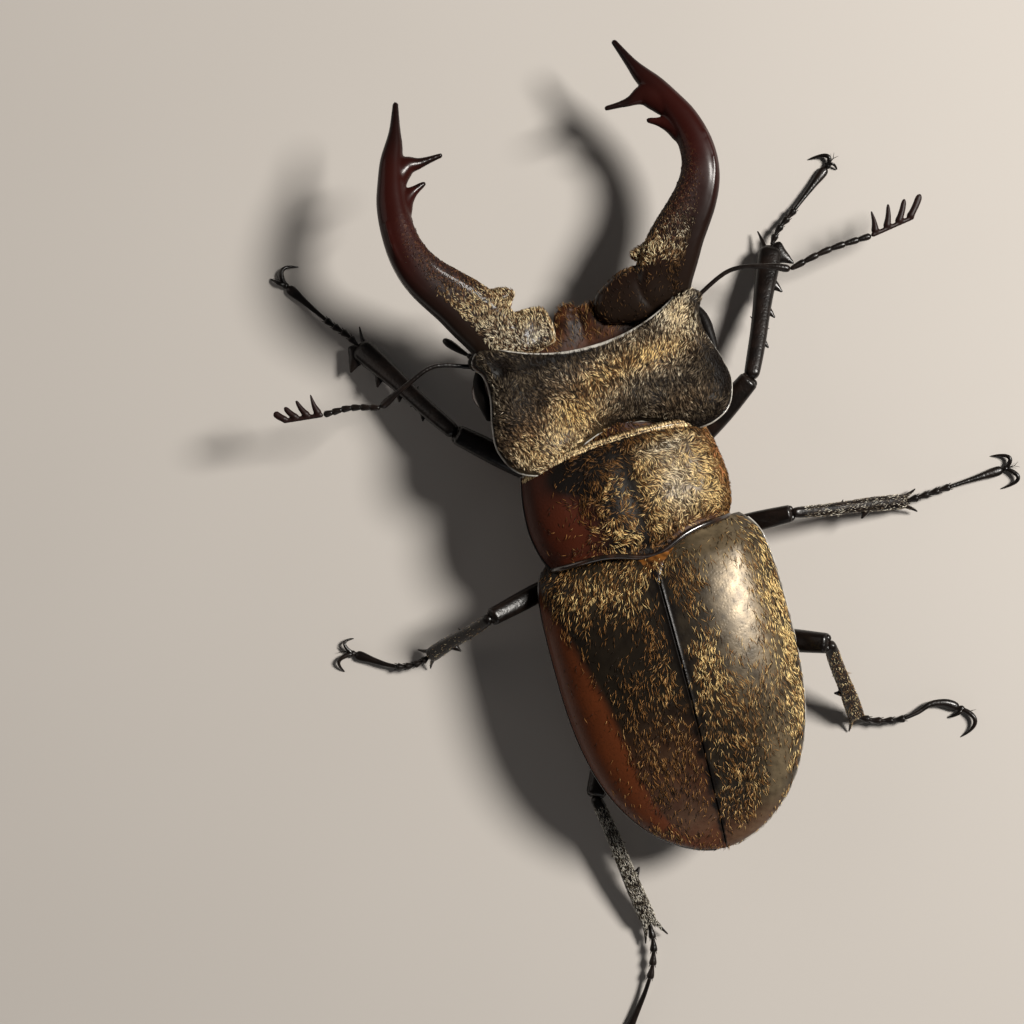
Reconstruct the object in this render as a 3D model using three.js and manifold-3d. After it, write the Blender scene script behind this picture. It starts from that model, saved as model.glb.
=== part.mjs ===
// Male Miyama stag beetle (Lucanus maculifemoratus) at life size, standing on its six feet.
// Millimetres, +Z up, floor at z = 0. The head points along -Y, and the beetle's left is +X.
// Built round the front edge of the wing cases, and shifted at the end so that the origin
// is the middle of the bottom of the whole beetle's box.
import * as THREE from 'three';
import { mergeVertices } from 'three/addons/utils/BufferGeometryUtils.js';
import Module from 'manifold-3d';

const wasm = await Module();
wasm.setup();

// ---------------------------------------------------------------- driving dimensions
const WING_CASE_FRONT = -1.8; // y where the wing cases start, under the pronotum's rear edge
const WING_CASE_TAIL = 25.1; // y of their tip
const WING_CASE_WIDEST = 6.3; // y of the widest place
const WING_CASE_HALF_WIDTH = 10.05;
const WING_CASE_EDGE_HEIGHT = 8.0; // z of the side margin
const WING_CASE_SOLE_DROP = 0.25; // underside below the margin
const SUTURE_GAP = 0.12; // between the two wing cases

const THORAX_REAR = 7.8; // y where the hind thorax meets the abdomen
const ABDOMEN_TAIL = 24.0;
const BELLY_TOP = 7.5; // z of the trunk's flat top, under the wing cases
const BELLY_KEEL = 3.0; // z of the trunk's underside

const NECK = new THREE.Vector3(0, -11, 8); // where the head meets the pronotum
const FRONT_YAW = THREE.MathUtils.degToRad(2.4); // head and pronotum turn to the left
const FRONT_ROLL = THREE.MathUtils.degToRad(-7); // and lean to the right
const FRONT_SHIFT = 0.35; // the pronotum sits a little to the left on the trunk
const HEAD_SHIFT = -0.85; // and the head a little to the right on the pronotum

const JOINT_GAP = 0.12; // between two neighbours of one chain
const BODY_GAP = 0.2; // round the larger pieces
const FLOOR_REACH = 100; // half size of the block that trims the feet

// ---------------------------------------------------------------- materials
const finish = (color, roughness, metalness = 0) =>
  new THREE.MeshStandardMaterial({ color, roughness, metalness });
const BRONZE = finish(0x4a3a1c, 0.35, 0.25);
const HAIRY = finish(0x6b5a30, 0.75);
const MAHOGANY = finish(0x2a1110, 0.25);
const BLACK = finish(0x15110f, 0.3);
const EYE = finish(0x2c0f0a, 0.2);
const CLUB = finish(0x3a2c22, 0.85);

// ---------------------------------------------------------------- building tools
const vec = (x, y, z) => new THREE.Vector3(x, y, z);
const spot = (x, y) => new THREE.Vector2(x, y);

// A smooth function through a few [place, value] pairs, flat beyond its two ends.
function profile(...pairs) {
  const last = pairs.length - 1;
  const slopeAt = (i) => {
    const [before, after] = [pairs[Math.max(i - 1, 0)], pairs[Math.min(i + 1, last)]];
    return (after[1] - before[1]) / (after[0] - before[0]);
  };
  return (place) => {
    if (place <= pairs[0][0]) return pairs[0][1];
    if (place >= pairs[last][0]) return pairs[last][1];
    const i = pairs.findIndex(([at]) => at > place) - 1;
    const [from, to] = [pairs[i], pairs[i + 1]];
    const span = to[0] - from[0];
    const t = (place - from[0]) / span;
    const rise = to[1] - from[1];
    const bend = (1 - t) * (slopeAt(i) * span - rise) - t * (slopeAt(i + 1) * span - rise);
    return from[1] + t * rise + t * (1 - t) * bend;
  };
}

// Only positions, with shared vertices merged, and the faces turned outward.
function tidied(geometry) {
  geometry.deleteAttribute('normal');
  geometry.deleteAttribute('uv');
  const merged = mergeVertices(geometry, 1e-4);
  const index = merged.index;
  const [a, b, c] = [vec(), vec(), vec()];
  let volume = 0;
  for (let i = 0; i < index.count; i += 3) {
    a.fromBufferAttribute(merged.attributes.position, index.getX(i));
    b.fromBufferAttribute(merged.attributes.position, index.getX(i + 1));
    c.fromBufferAttribute(merged.attributes.position, index.getX(i + 2));
    volume += a.dot(b.cross(c));
  }
  if (volume < 0) {
    for (let i = 0; i < index.count; i += 3) {
      const first = index.getX(i);
      index.setX(i, index.getX(i + 2));
      index.setX(i + 2, first);
    }
  }
  return merged;
}

function solidOf(geometry) {
  return new wasm.Manifold(new wasm.Mesh({
    numProp: 3,
    vertProperties: Float32Array.from(geometry.attributes.position.array),
    triVerts: Uint32Array.from(geometry.index.array),
  }));
}

function geometryOf(solid) {
  const { vertProperties, triVerts } = solid.getMesh();
  const geometry = new THREE.BufferGeometry();
  geometry.setAttribute('position', new THREE.BufferAttribute(vertProperties, 3));
  geometry.setIndex(new THREE.BufferAttribute(triVerts, 1));
  return geometry;
}

// The largest of the pieces that a cut leaves.
function largest(solid) {
  const pieces = solid.decompose();
  return pieces.reduce((best, piece) => (piece.volume() > best.volume() ? piece : best));
}

const joined = (...geometries) =>
  geometryOf(geometries.map(solidOf).reduce((whole, piece) => whole.add(piece)));

// A copy grown outward by a gap, to cut that gap into a neighbour.
function swollen(geometry, gap) {
  const copy = geometry.clone();
  copy.computeVertexNormals();
  const { position, normal } = copy.attributes;
  for (let i = 0; i < position.count; i += 1) {
    position.setXYZ(
      i,
      position.getX(i) + normal.getX(i) * gap,
      position.getY(i) + normal.getY(i) * gap,
      position.getZ(i) + normal.getZ(i) * gap,
    );
  }
  copy.deleteAttribute('normal');
  return copy;
}

// A piece cut back so that it meets its neighbours face to face, with a gap.
function seated(piece, gap, ...neighbours) {
  const cut = neighbours.reduce(
    (rest, neighbour) => rest.subtract(solidOf(swollen(neighbour, gap))),
    solidOf(piece),
  );
  return geometryOf(largest(cut));
}

// What lies above the floor, so that what touches it ends in a flat.
function standing(piece) {
  const floor = tidied(new THREE.BoxGeometry(2 * FLOOR_REACH, 2 * FLOOR_REACH, 2 * FLOOR_REACH));
  floor.translate(0, 0, -FLOOR_REACH);
  return geometryOf(largest(solidOf(piece).subtract(solidOf(floor))));
}

// A closed body: a drum whose points are put in place by their angle round it, their step
// along it (0 to 1) and their distance out (0 only in the middle of its two ends).
function sculpted(sides, steps, place) {
  const geometry = new THREE.CylinderGeometry(1, 1, 1, sides, steps);
  const { position } = geometry.attributes;
  for (let i = 0; i < position.count; i += 1) {
    const out = Math.hypot(position.getX(i), position.getZ(i)) > 0.5 ? 1 : 0;
    const angle = Math.atan2(position.getZ(i), position.getX(i));
    const point = place(angle, position.getY(i) + 0.5, out);
    position.setXYZ(i, point.x, point.y, point.z);
  }
  return tidied(geometry);
}

// A limb along a curve through a few points, with half its width and height along the way.
function limb(points, halfWidth, halfHeight, { sides = 8, steps = 8, up = vec(0, 0, 1) } = {}) {
  const curve = new THREE.CatmullRomCurve3(points);
  return sculpted(sides, steps, (angle, along, out) => {
    const tangent = curve.getTangentAt(along);
    const side = tangent.clone().cross(up).normalize();
    const top = side.clone().cross(tangent);
    return curve.getPointAt(along)
      .addScaledVector(side, out * halfWidth(along) * Math.cos(angle))
      .addScaledVector(top, out * halfHeight(along) * Math.sin(angle));
  });
}

// A pointed spine or tooth.
function spike(root, tip, rootRadius, tipRadius = 0.1, sides = 5) {
  const radius = (along) => THREE.MathUtils.lerp(rootRadius, tipRadius, along);
  return limb([root, tip], radius, radius, { sides, steps: 1 });
}

// A trunk piece in slices from side to side. edge(t) is the side margin, middle(t) the slice's
// y on the midline, crown(t) and keel(t) the heights there. Fullness squares the two halves.
function slices({ sides, steps, edge, middle, crown, keel, fullness, underFullness, relief }) {
  return sculpted(sides, steps, (angle, along, out) => {
    const margin = edge(along);
    const [cosine, sine] = [out * Math.cos(angle), out * Math.sin(angle)];
    const power = 2 / (sine >= 0 ? fullness : underFullness);
    const across = Math.sign(cosine) * Math.abs(cosine) ** power;
    const reach = sine >= 0 ? crown(along) - margin.z : margin.z - keel(along);
    const bow = (margin.y - middle(along)) * Math.abs(across) ** 2.2;
    const lift = relief && sine > 0 ? relief(across, along) * sine : 0;
    return vec(
      across * margin.x,
      middle(along) + bow,
      margin.z + Math.sign(sine) * reach * Math.abs(sine) ** power + lift,
    );
  });
}

// ---------------------------------------------------------------- the front part's pose
const front = new THREE.Group();
const FRONT_PIVOT = vec(FRONT_SHIFT, -1, NECK.z);
front.position.copy(FRONT_PIVOT);
front.rotation.set(0, FRONT_ROLL, FRONT_YAW, 'ZYX');
front.updateMatrixWorld();
const headGroup = new THREE.Group();
headGroup.position.set(HEAD_SHIFT, NECK.y - FRONT_PIVOT.y, 0);
front.add(headGroup);
const inTrunk = (geometry) => geometry.clone().applyMatrix4(front.matrixWorld);
const inHead = (geometry) => geometry.clone().translate(
  -headGroup.position.x,
  -headGroup.position.y,
  0,
);

// ---------------------------------------------------------------- pronotum
// In the front part's frame: y = 0 at its rear edge, z = 0 at its side margin's height.
const PRONOTUM_EDGE = profile(
  [0, 7.7], [0.16, 8.3], [0.4, 8.65], [0.6, 8.6], [0.8, 8.35], [1, 7.95],
);
const pronotumShape = slices({
  sides: 22,
  steps: 7,
  edge: (t) => vec(PRONOTUM_EDGE(t), -0.35 - 8.35 * t, -0.1 + 0.35 * t),
  middle: (t) => -0.05 - 9.35 * t,
  crown: profile([0, 3.8], [0.15, 4.35], [0.45, 4.7], [0.8, 4.2], [1, 3.3]),
  keel: profile([0, -3.4], [0.3, -4.7], [0.75, -4.6], [1, -3.2]),
  fullness: 2.5,
  underFullness: 1.5,
});

// ---------------------------------------------------------------- trunk under the wing cases
const trunkEdge = (from, to, halfWidth) => (t) =>
  vec(halfWidth(t), from + (to - from) * t, BELLY_TOP - 0.3);
const THORAX_FRONT = -1.6;
const metathorax = seated(
  slices({
    sides: 18,
    steps: 4,
    edge: trunkEdge(THORAX_FRONT, THORAX_REAR, profile([0, 8.3], [0.3, 9.0], [1, 9.3])),
    middle: (t) => THORAX_FRONT + (THORAX_REAR - THORAX_FRONT) * t,
    crown: () => BELLY_TOP,
    keel: profile([0, BELLY_KEEL + 1], [0.25, BELLY_KEEL + 0.1], [1, BELLY_KEEL]),
    fullness: 6,
    underFullness: 1.5,
  }),
  BODY_GAP,
  inTrunk(pronotumShape),
);
const ABDOMEN_FRONT = THORAX_REAR + BODY_GAP;
const abdomen = slices({
  sides: 18,
  steps: 7,
  edge: (t) => {
    const along = 1 - (1 - t) ** 1.5;
    const taper = (1 - (along * 0.985) ** 2.6) ** (1 / 1.9);
    return vec(
      0.2 + 9.1 * taper,
      ABDOMEN_FRONT + (ABDOMEN_TAIL - ABDOMEN_FRONT) * along,
      BELLY_TOP - 0.3 - 0.5 * along ** 2,
    );
  },
  middle: (t) => ABDOMEN_FRONT + (ABDOMEN_TAIL - ABDOMEN_FRONT) * (1 - (1 - t) ** 1.5),
  crown: (t) => BELLY_TOP - 0.6 * t ** 2,
  keel: profile([0, BELLY_KEEL], [0.3, BELLY_KEEL + 0.1], [0.65, BELLY_KEEL + 1.3], [1, 6.3]),
  fullness: 6,
  underFullness: 1.7,
});

// ---------------------------------------------------------------- wing cases and scutellum
const wingCaseY = (t) =>
  WING_CASE_FRONT + (WING_CASE_TAIL - WING_CASE_FRONT) * (1 - (1 - t) ** 1.5);
function wingCaseHalfWidth(y) {
  const behind = (y - WING_CASE_WIDEST) / (WING_CASE_TAIL - WING_CASE_WIDEST);
  if (behind > 0) return WING_CASE_HALF_WIDTH * (1 - (behind * 0.999) ** 2.8) ** (1 / 1.8);
  const ahead = (WING_CASE_WIDEST - y) / (WING_CASE_WIDEST - WING_CASE_FRONT);
  return WING_CASE_HALF_WIDTH - 0.7 * ahead ** 2.5 - 1.0 * ahead ** 8;
}
const wingCaseEdgeHeight = (y) =>
  WING_CASE_EDGE_HEIGHT - 0.9 * Math.max(0, (y - 16) / (WING_CASE_TAIL - 16)) ** 2;
const wingCaseCrown = profile([-1.8, 11.4], [0, 12.3], [3, 13.0], [8, 13.4], [13, 13.1], [18, 11.8],
  [22, 9.9], [24.4, 8.2], [25.1, 7.4]);
const wingCasesWhole = slices({
  sides: 24,
  steps: 10,
  edge: (t) => vec(
    Math.max(wingCaseHalfWidth(wingCaseY(t)), 0.15),
    wingCaseY(t),
    wingCaseEdgeHeight(wingCaseY(t)),
  ),
  middle: wingCaseY,
  crown: (t) => wingCaseCrown(wingCaseY(t)),
  keel: (t) => wingCaseEdgeHeight(wingCaseY(t)) - WING_CASE_SOLE_DROP,
  fullness: 2.35,
  underFullness: 5,
});
const wingCasesSeated = seated(wingCasesWhole, BODY_GAP, inTrunk(pronotumShape));

// The scutellum is the little triangle between the wing cases' front corners.
function triangularPeg(halfWidth, length) {
  const outline = new THREE.Shape([
    new THREE.Vector2(-halfWidth, -3),
    new THREE.Vector2(halfWidth, -3),
    new THREE.Vector2(halfWidth, -0.6),
    new THREE.Vector2(0, length),
    new THREE.Vector2(-halfWidth, -0.6),
  ]);
  const peg = new THREE.ExtrudeGeometry(outline, { depth: 6, bevelEnabled: false });
  peg.translate(0, 0, 10.2);
  return tidied(peg);
}
const scutellum = geometryOf(largest(
  solidOf(wingCasesSeated).intersect(solidOf(triangularPeg(1.35, 2.0))),
));
const sutureCut = tidied(new THREE.BoxGeometry(SUTURE_GAP, 60, 20));
sutureCut.translate(0, 12, 10);
const socket = triangularPeg(1.35 + JOINT_GAP, 2.0 + 2 * JOINT_GAP);
socket.translate(0, 0, -JOINT_GAP);
const wingCases = solidOf(wingCasesSeated)
  .subtract(solidOf(socket))
  .subtract(solidOf(sutureCut))
  .decompose()
  .map(geometryOf);
const onSide = (geometry, sign) => {
  geometry.computeBoundingBox();
  return Math.sign(geometry.boundingBox.min.x + geometry.boundingBox.max.x) === sign;
};
const wingCase = (sign) => wingCases.find((geometry) => onSide(geometry, sign));

// ---------------------------------------------------------------- head
// In the head's frame: y = 0 at the neck, z = 0 at NECK.z. The side outline runs from the
// rounded ear lobes at the back, in at the waist and out to the front corners.
const HEAD_SIDE = new THREE.CatmullRomCurve3([
  vec(5.6, 1.85, 2.6),
  vec(7.6, 1.7, 2.9),
  vec(9.3, 0.8, 2.7),
  vec(10.25, -1.2, 2.1),
  vec(10.1, -3.2, 1.6),
  vec(9.4, -5.6, 1.2),
  vec(9.4, -7.4, 1.0),
  vec(10.0, -8.6, 0.9),
  vec(9.2, -9.5, 0.9),
  vec(7.9, -9.2, 1.0),
]);
const headShape = slices({
  sides: 22,
  steps: 11,
  edge: (t) => HEAD_SIDE.getPointAt(t),
  middle: profile([0, 0.15], [0.5, -3.2], [0.9, -6.6], [1, -7.1]),
  crown: profile([0, 2.5], [0.4, 2.7], [0.75, 2.6], [0.92, 3.0], [1, 2.4]),
  keel: profile([0, -2.4], [0.4, -3.4], [0.8, -3.2], [1, -1.6]),
  fullness: 3.2,
  underFullness: 1.6,
  relief: (across, t) => 0.9 * Math.exp(-(((Math.abs(across) - 0.78) / 0.2) ** 2))
    * Math.exp(-(((t - 0.28) / 0.2) ** 2)),
});
const head = seated(headShape, BODY_GAP, inHead(pronotumShape));

const EYE_CENTRE = vec(9.2, -6.1, -0.5);
function eye(side) {
  const ball = new THREE.SphereGeometry(1, 9, 6);
  ball.scale(1.25, 1.3, 1.05);
  ball.translate(side * EYE_CENTRE.x, EYE_CENTRE.y, EYE_CENTRE.z);
  return seated(tidied(ball), JOINT_GAP, head);
}

const RIGHT_JAW_BOW = 0.3; // the right jaw bows out a little more than the left one
// The jaw: a stem bowed outward, two prongs at its end, two teeth and a broad lobe at its root.
function mandibleShape(side) {
  const bow = side > 0 ? 0 : RIGHT_JAW_BOW;
  const place = (x, y, z) => vec(side * (x + bow * Math.exp(-(((y + 20.5) / 5) ** 2))), y, z);
  const stem = limb(
    [
      place(6.9, -8.0, -0.3),
      place(7.5, -10.7, 0.1),
      place(9.3, -13.6, 0.9),
      place(11.6, -16.4, 1.6),
      place(12.6, -18.5, 1.9),
      place(12.9, -20.7, 1.9),
      place(12.4, -23.3, 1.7),
      place(11.2, -26.2, 1.3),
      place(10.3, -28.5, 1.0),
      place(9.45, -31.3, 0.6),
    ],
    profile([0, 2.3], [0.18, 2.4], [0.3, 2.15], [0.42, 1.8], [0.55, 1.55], [0.7, 1.45], [0.8, 1.3],
      [0.87, 0.75], [0.94, 0.45], [1, 0.3]),
    profile([0, 1.5], [0.2, 1.6], [0.4, 1.5], [0.6, 1.3], [0.78, 0.95], [0.88, 0.6], [1, 0.28]),
    { sides: 8, steps: 12 },
  );
  const lobe = new THREE.SphereGeometry(1, 9, 6);
  lobe.scale(2.7, 1.75, 1.15);
  lobe.translate(side * 4.6, -10.2, -0.3);
  return joined(
    stem,
    tidied(lobe),
    spike(place(7.6, -12.6, 0.5), place(4.9, -13.3, 0.5), 1.3, 0.3),
    spike(place(11.7, -23.5, 1.6), place(9.4, -24.1, 1.5), 0.85, 0.2),
    spike(place(10.9, -26.2, 1.3), place(7.0, -25.85, 1.2), 1.15, 0.22),
  );
}
const mandible = (side) => seated(mandibleShape(side), BODY_GAP, head);

// Clypeus and upper lip: a plate between the jaws' roots, under the head's front edge.
function clypeus() {
  const outline = new THREE.Shape();
  outline.moveTo(-4.4, -6.4);
  outline.lineTo(4.4, -6.4);
  outline.lineTo(3.4, -9.0);
  outline.quadraticCurveTo(2.2, -9.6, 2.0, -10.5);
  outline.quadraticCurveTo(1.2, -12.2, 0, -10.7);
  outline.quadraticCurveTo(-1.2, -12.2, -2.0, -10.5);
  outline.quadraticCurveTo(-2.2, -9.6, -3.4, -9.0);
  const plate = new THREE.ExtrudeGeometry(outline, {
    depth: 1.0,
    curveSegments: 5,
    bevelEnabled: false,
  });
  plate.translate(0, 0, -1.6);
  return seated(tidied(plate), JOINT_GAP, head, mandible(1), mandible(-1));
}

function palp(side, tip) {
  const root = vec(side * 8.3, -8.4, -2.1);
  return seated(
    limb([root, root.clone().lerp(tip, 0.5).add(vec(side * 0.15, 0, 0)), tip],
      profile([0, 0.26], [0.6, 0.26], [0.9, 0.36], [1, 0.16]),
      profile([0, 0.26], [0.6, 0.26], [0.9, 0.3], [1, 0.16]),
      { sides: 6, steps: 5 }),
    JOINT_GAP,
    head,
    mandible(side),
  );
}

// ---------------------------------------------------------------- antennae
const FEELER_RADIUS = 0.26;
const ANTENNAE = {
  left: {
    scape: [vec(9.9, -8.6, -0.2), vec(13.0, -9.5, 0.2), vec(15.6, -8.7, 0.1), vec(18.2, -7.6, -0.7)],
    whip: [vec(18.35, -7.6, -0.75), vec(20.5, -8.35, -1.5), vec(22.8, -8.5, -2.0)],
    club: vec(26.2, -9.0, -2.4),
  },
  right: {
    scape: [vec(-9.7, -8.6, -0.2), vec(-13.2, -10.0, 0.6), vec(-16.2, -9.4, 1.2),
      vec(-18.1, -8.6, 1.2)],
    whip: [vec(-18.25, -8.6, 1.25), vec(-21.6, -9.2, 1.4), vec(-25.6, -9.3, 1.4)],
    club: vec(-29.75, -9.8, 1.2),
  },
};
const WHIP_BEADS = 6;
const CLUB_BLADES = 4;

function scape(points) {
  const radius = profile([0, 0.24], [0.8, FEELER_RADIUS], [0.95, 0.34], [1, 0.22]);
  return seated(limb(points, radius, radius, { sides: 6, steps: 7 }), JOINT_GAP, head,
    mandible(Math.sign(points[0].x)));
}

function whip(points) {
  const steps = 2 * WHIP_BEADS;
  const bead = (t) => FEELER_RADIUS + (Math.round(t * steps) % 2 ? 0.1 : -0.04);
  return limb(points, bead, bead, { sides: 5, steps });
}

function club(from, to) {
  const start = from.clone().lerp(to, 0.03);
  const stem = limb([start, to], () => 0.28, () => 0.28, { sides: 5, steps: 1 });
  const blades = [];
  for (let i = 0; i < CLUB_BLADES; i += 1) {
    const root = start.clone().lerp(to, 0.12 + (0.76 * i) / (CLUB_BLADES - 1));
    const tip = root.clone().add(vec(Math.sign(to.x) * 0.5, -1.7 - 0.1 * i, 0.1));
    blades.push(limb([root, tip], () => 0.3, () => 0.36, { sides: 5, steps: 1 }));
  }
  return joined(stem, ...blades);
}

// ---------------------------------------------------------------- legs
// Each leg: hip, knee and ankle joints, the foot's way from the ankle to its claw joint,
// and the knuckle and tip of its two claws, seen from above. SOLE is the claw joint's height.
const SOLE = 0.3;
const LEGS = {
  front_left: {
    inner: vec(1.6, -6.2, 3.3),
    hip: vec(4.7, -7.0, 3.2),
    knee: vec(13.0, -14.4, 5.4),
    ankle: vec(19.3, -24.1, 1.3),
    foot: [vec(19.9, -25.2, 1.15), vec(21.3, -26.9, 0.8), vec(23.95, -30.75, SOLE)],
    claws: [[spot(23.85, -32.0), spot(22.6, -32.1)],
      [spot(24.75, -31.5), spot(25.6, -32.3)]],
    sizes: 'front',
  },
  front_right: {
    inner: vec(-1.6, -6.2, 3.3),
    hip: vec(-4.7, -7.0, 3.2),
    knee: vec(-12.45, -12.45, 5.4),
    ankle: vec(-17.65, -23.2, 1.3),
    foot: [vec(-18.6, -24.4, 1.15), vec(-20.4, -25.7, 0.8), vec(-24.2, -28.65, SOLE)],
    claws: [[spot(-24.45, -29.6), spot(-22.9, -29.75)],
      [spot(-25.0, -28.75), spot(-26.1, -28.2)]],
    sizes: 'front',
  },
  middle_left: {
    inner: vec(1.5, 0.1, 3.2),
    hip: vec(4.4, -0.7, 3.1),
    knee: vec(14.1, 1.35, 8.8),
    ankle: vec(20.2, 3.5, 1.3),
    foot: [vec(21.4, 3.9, 1.1), vec(23.4, 3.65, 0.8), vec(26.55, 1.75, SOLE)],
    claws: [[spot(27.15, 0.6), spot(26.3, 0.4)],
      [spot(28.0, 1.95), spot(27.8, 3.0)]],
    sizes: 'middle',
  },
  middle_right: {
    inner: vec(-1.5, 0.1, 3.2),
    hip: vec(-4.4, -0.7, 3.1),
    knee: vec(-12.8, -0.5, 6.2),
    ankle: vec(-23.2, 1.25, 1.3),
    foot: [vec(-24.7, 1.2, 1.1), vec(-27.2, 1.05, 0.8), vec(-32.3, 0.8, SOLE)],
    claws: [[spot(-33.0, -0.1), spot(-31.6, -0.6)],
      [spot(-33.3, 1.9), spot(-31.75, 2.4)]],
    sizes: 'middle',
  },
  hind_left: {
    inner: vec(1.5, 6.2, 3.3),
    hip: vec(4.2, 8.6, 3.0),
    knee: vec(9.5, 18.6, 4.3),
    ankle: vec(7.75, 30.9, 1.3),
    foot: [vec(8.05, 33.3, 1.1), vec(9.3, 36.1, 0.8), vec(12.6, 40.4, SOLE)],
    claws: [[spot(12.9, 41.6), spot(12.0, 42.1)],
      [spot(13.8, 40.9), spot(14.7, 41.5)]],
    sizes: 'hind',
  },
  hind_right: {
    inner: vec(-1.5, 6.2, 3.3),
    hip: vec(-4.4, 8.0, 3.1),
    knee: vec(-12.6, 10.7, 8.7),
    ankle: vec(-14.2, 18.2, 1.3),
    foot: [vec(-16.1, 19.1, 1.1), vec(-18.4, 19.3, 0.8), vec(-22.3, 19.1, SOLE)],
    claws: [[spot(-23.7, 20.6), spot(-22.9, 22.3)],
      [spot(-22.9, 18.6), spot(-22.6, 17.5)]],
    sizes: 'hind',
  },
};
// Half widths of the three pairs. Spines are [step along the tibia, tip's distance from its
// middle line], on the outer side.
const LEG_SIZES = {
  front: {
    coxa: 1.35,
    femur: 1.0,
    shin: [0.55, 0.85],
    spines: [[0.24, 1.1], [0.5, 1.35], [0.7, 1.7], [0.92, 2.2]],
  },
  middle: { coxa: 1.2, femur: 0.85, shin: [0.48, 0.64], spines: [[0.55, 1.15]] },
  hind: { coxa: 1.25, femur: 0.95, shin: [0.52, 0.72], spines: [[0.6, 1.2]] },
};
const TOE_JOINTS = 4;
const CLAW_ROOT = 0.35; // how far the claws' root lies beyond the foot's end
const CLAW_HALF_WIDTH = 0.27;
const CLAW_TIP_HALF_WIDTH = 0.1;
const CLAW_HEIGHT = profile([0, 0.32], [0.55, 0.42], [1, 0.1]); // middle of the plate
const CLAW_HALF_HEIGHT = profile([0, 0.27], [0.55, 0.24], [1, 0.12]);
const between = (from, to, t) => from.clone().lerp(to, t);

function coxa(leg, trunk) {
  const { coxa: radius } = LEG_SIZES[leg.sizes];
  const outer = between(leg.inner, leg.hip, 0.96);
  return seated(
    limb([leg.inner, between(leg.inner, outer, 0.5), outer],
      profile([0, radius * 0.8], [0.35, radius], [0.8, radius * 0.9], [1, radius * 0.55]),
      profile([0, radius * 0.75], [0.35, radius * 0.95], [0.8, radius * 0.8], [1, radius * 0.5]),
      { sides: 8, steps: 4 }),
    JOINT_GAP,
    ...trunk,
  );
}

function femur(leg, neighbours) {
  const { femur: radius } = LEG_SIZES[leg.sizes];
  const middle = between(leg.hip, leg.knee, 0.5).add(vec(0, 0, 0.15));
  return seated(
    limb([leg.hip, middle, leg.knee],
      profile([0, radius * 0.55], [0.15, radius * 0.7], [0.6, radius], [0.9, radius * 0.85],
        [1, radius * 0.5]),
      profile([0, radius * 0.55], [0.15, radius * 0.65], [0.6, radius * 0.9], [0.9, radius * 0.8],
        [1, radius * 0.5]),
      { sides: 7, steps: 4 }),
    JOINT_GAP,
    ...neighbours,
  );
}

function tibia(leg, thigh) {
  const { shin: [narrow, broad], spines } = LEG_SIZES[leg.sizes];
  const axis = leg.ankle.clone().sub(leg.knee).normalize();
  const outward = axis.clone().cross(vec(0, 0, 1)).normalize().multiplyScalar(-Math.sign(leg.hip.x));
  const shaft = limb(
    [between(leg.knee, leg.ankle, 0.02), between(leg.knee, leg.ankle, 0.5), leg.ankle],
    profile([0, narrow * 0.9], [0.5, narrow * 1.1], [0.93, broad], [1, broad * 0.75]),
    profile([0, narrow * 0.9], [0.5, narrow], [0.95, narrow * 1.1], [1, narrow * 0.8]),
    { sides: 6, steps: 3 },
  );
  const offAxis = (t, distance) => between(leg.knee, leg.ankle, t).addScaledVector(outward, distance);
  const teeth = spines.map(([t, distance]) =>
    spike(offAxis(t - 0.02, 0.1), offAxis(t + 0.05, distance), 0.42, 0.09, 4));
  const spurs = [1, -1].map((hand) =>
    spike(offAxis(0.95, hand * broad * 0.4), offAxis(1.08, hand * (broad + 0.45)), 0.3, 0.09, 4));
  return seated(joined(shaft, ...teeth, ...spurs), JOINT_GAP, thigh);
}

function tarsus(leg, shin) {
  const path = [between(leg.ankle, leg.foot[0], 0.1), ...leg.foot];
  const steps = 2 * TOE_JOINTS + 4;
  const beads = (t) => {
    const step = Math.round(t * steps);
    if (step > 2 * TOE_JOINTS) return 0.27 + 0.05 * (step - 2 * TOE_JOINTS);
    return step % 2 ? 0.42 : 0.28;
  };
  return standing(seated(limb(path, beads, beads, { sides: 5, steps }), JOINT_GAP, shin));
}

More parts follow.
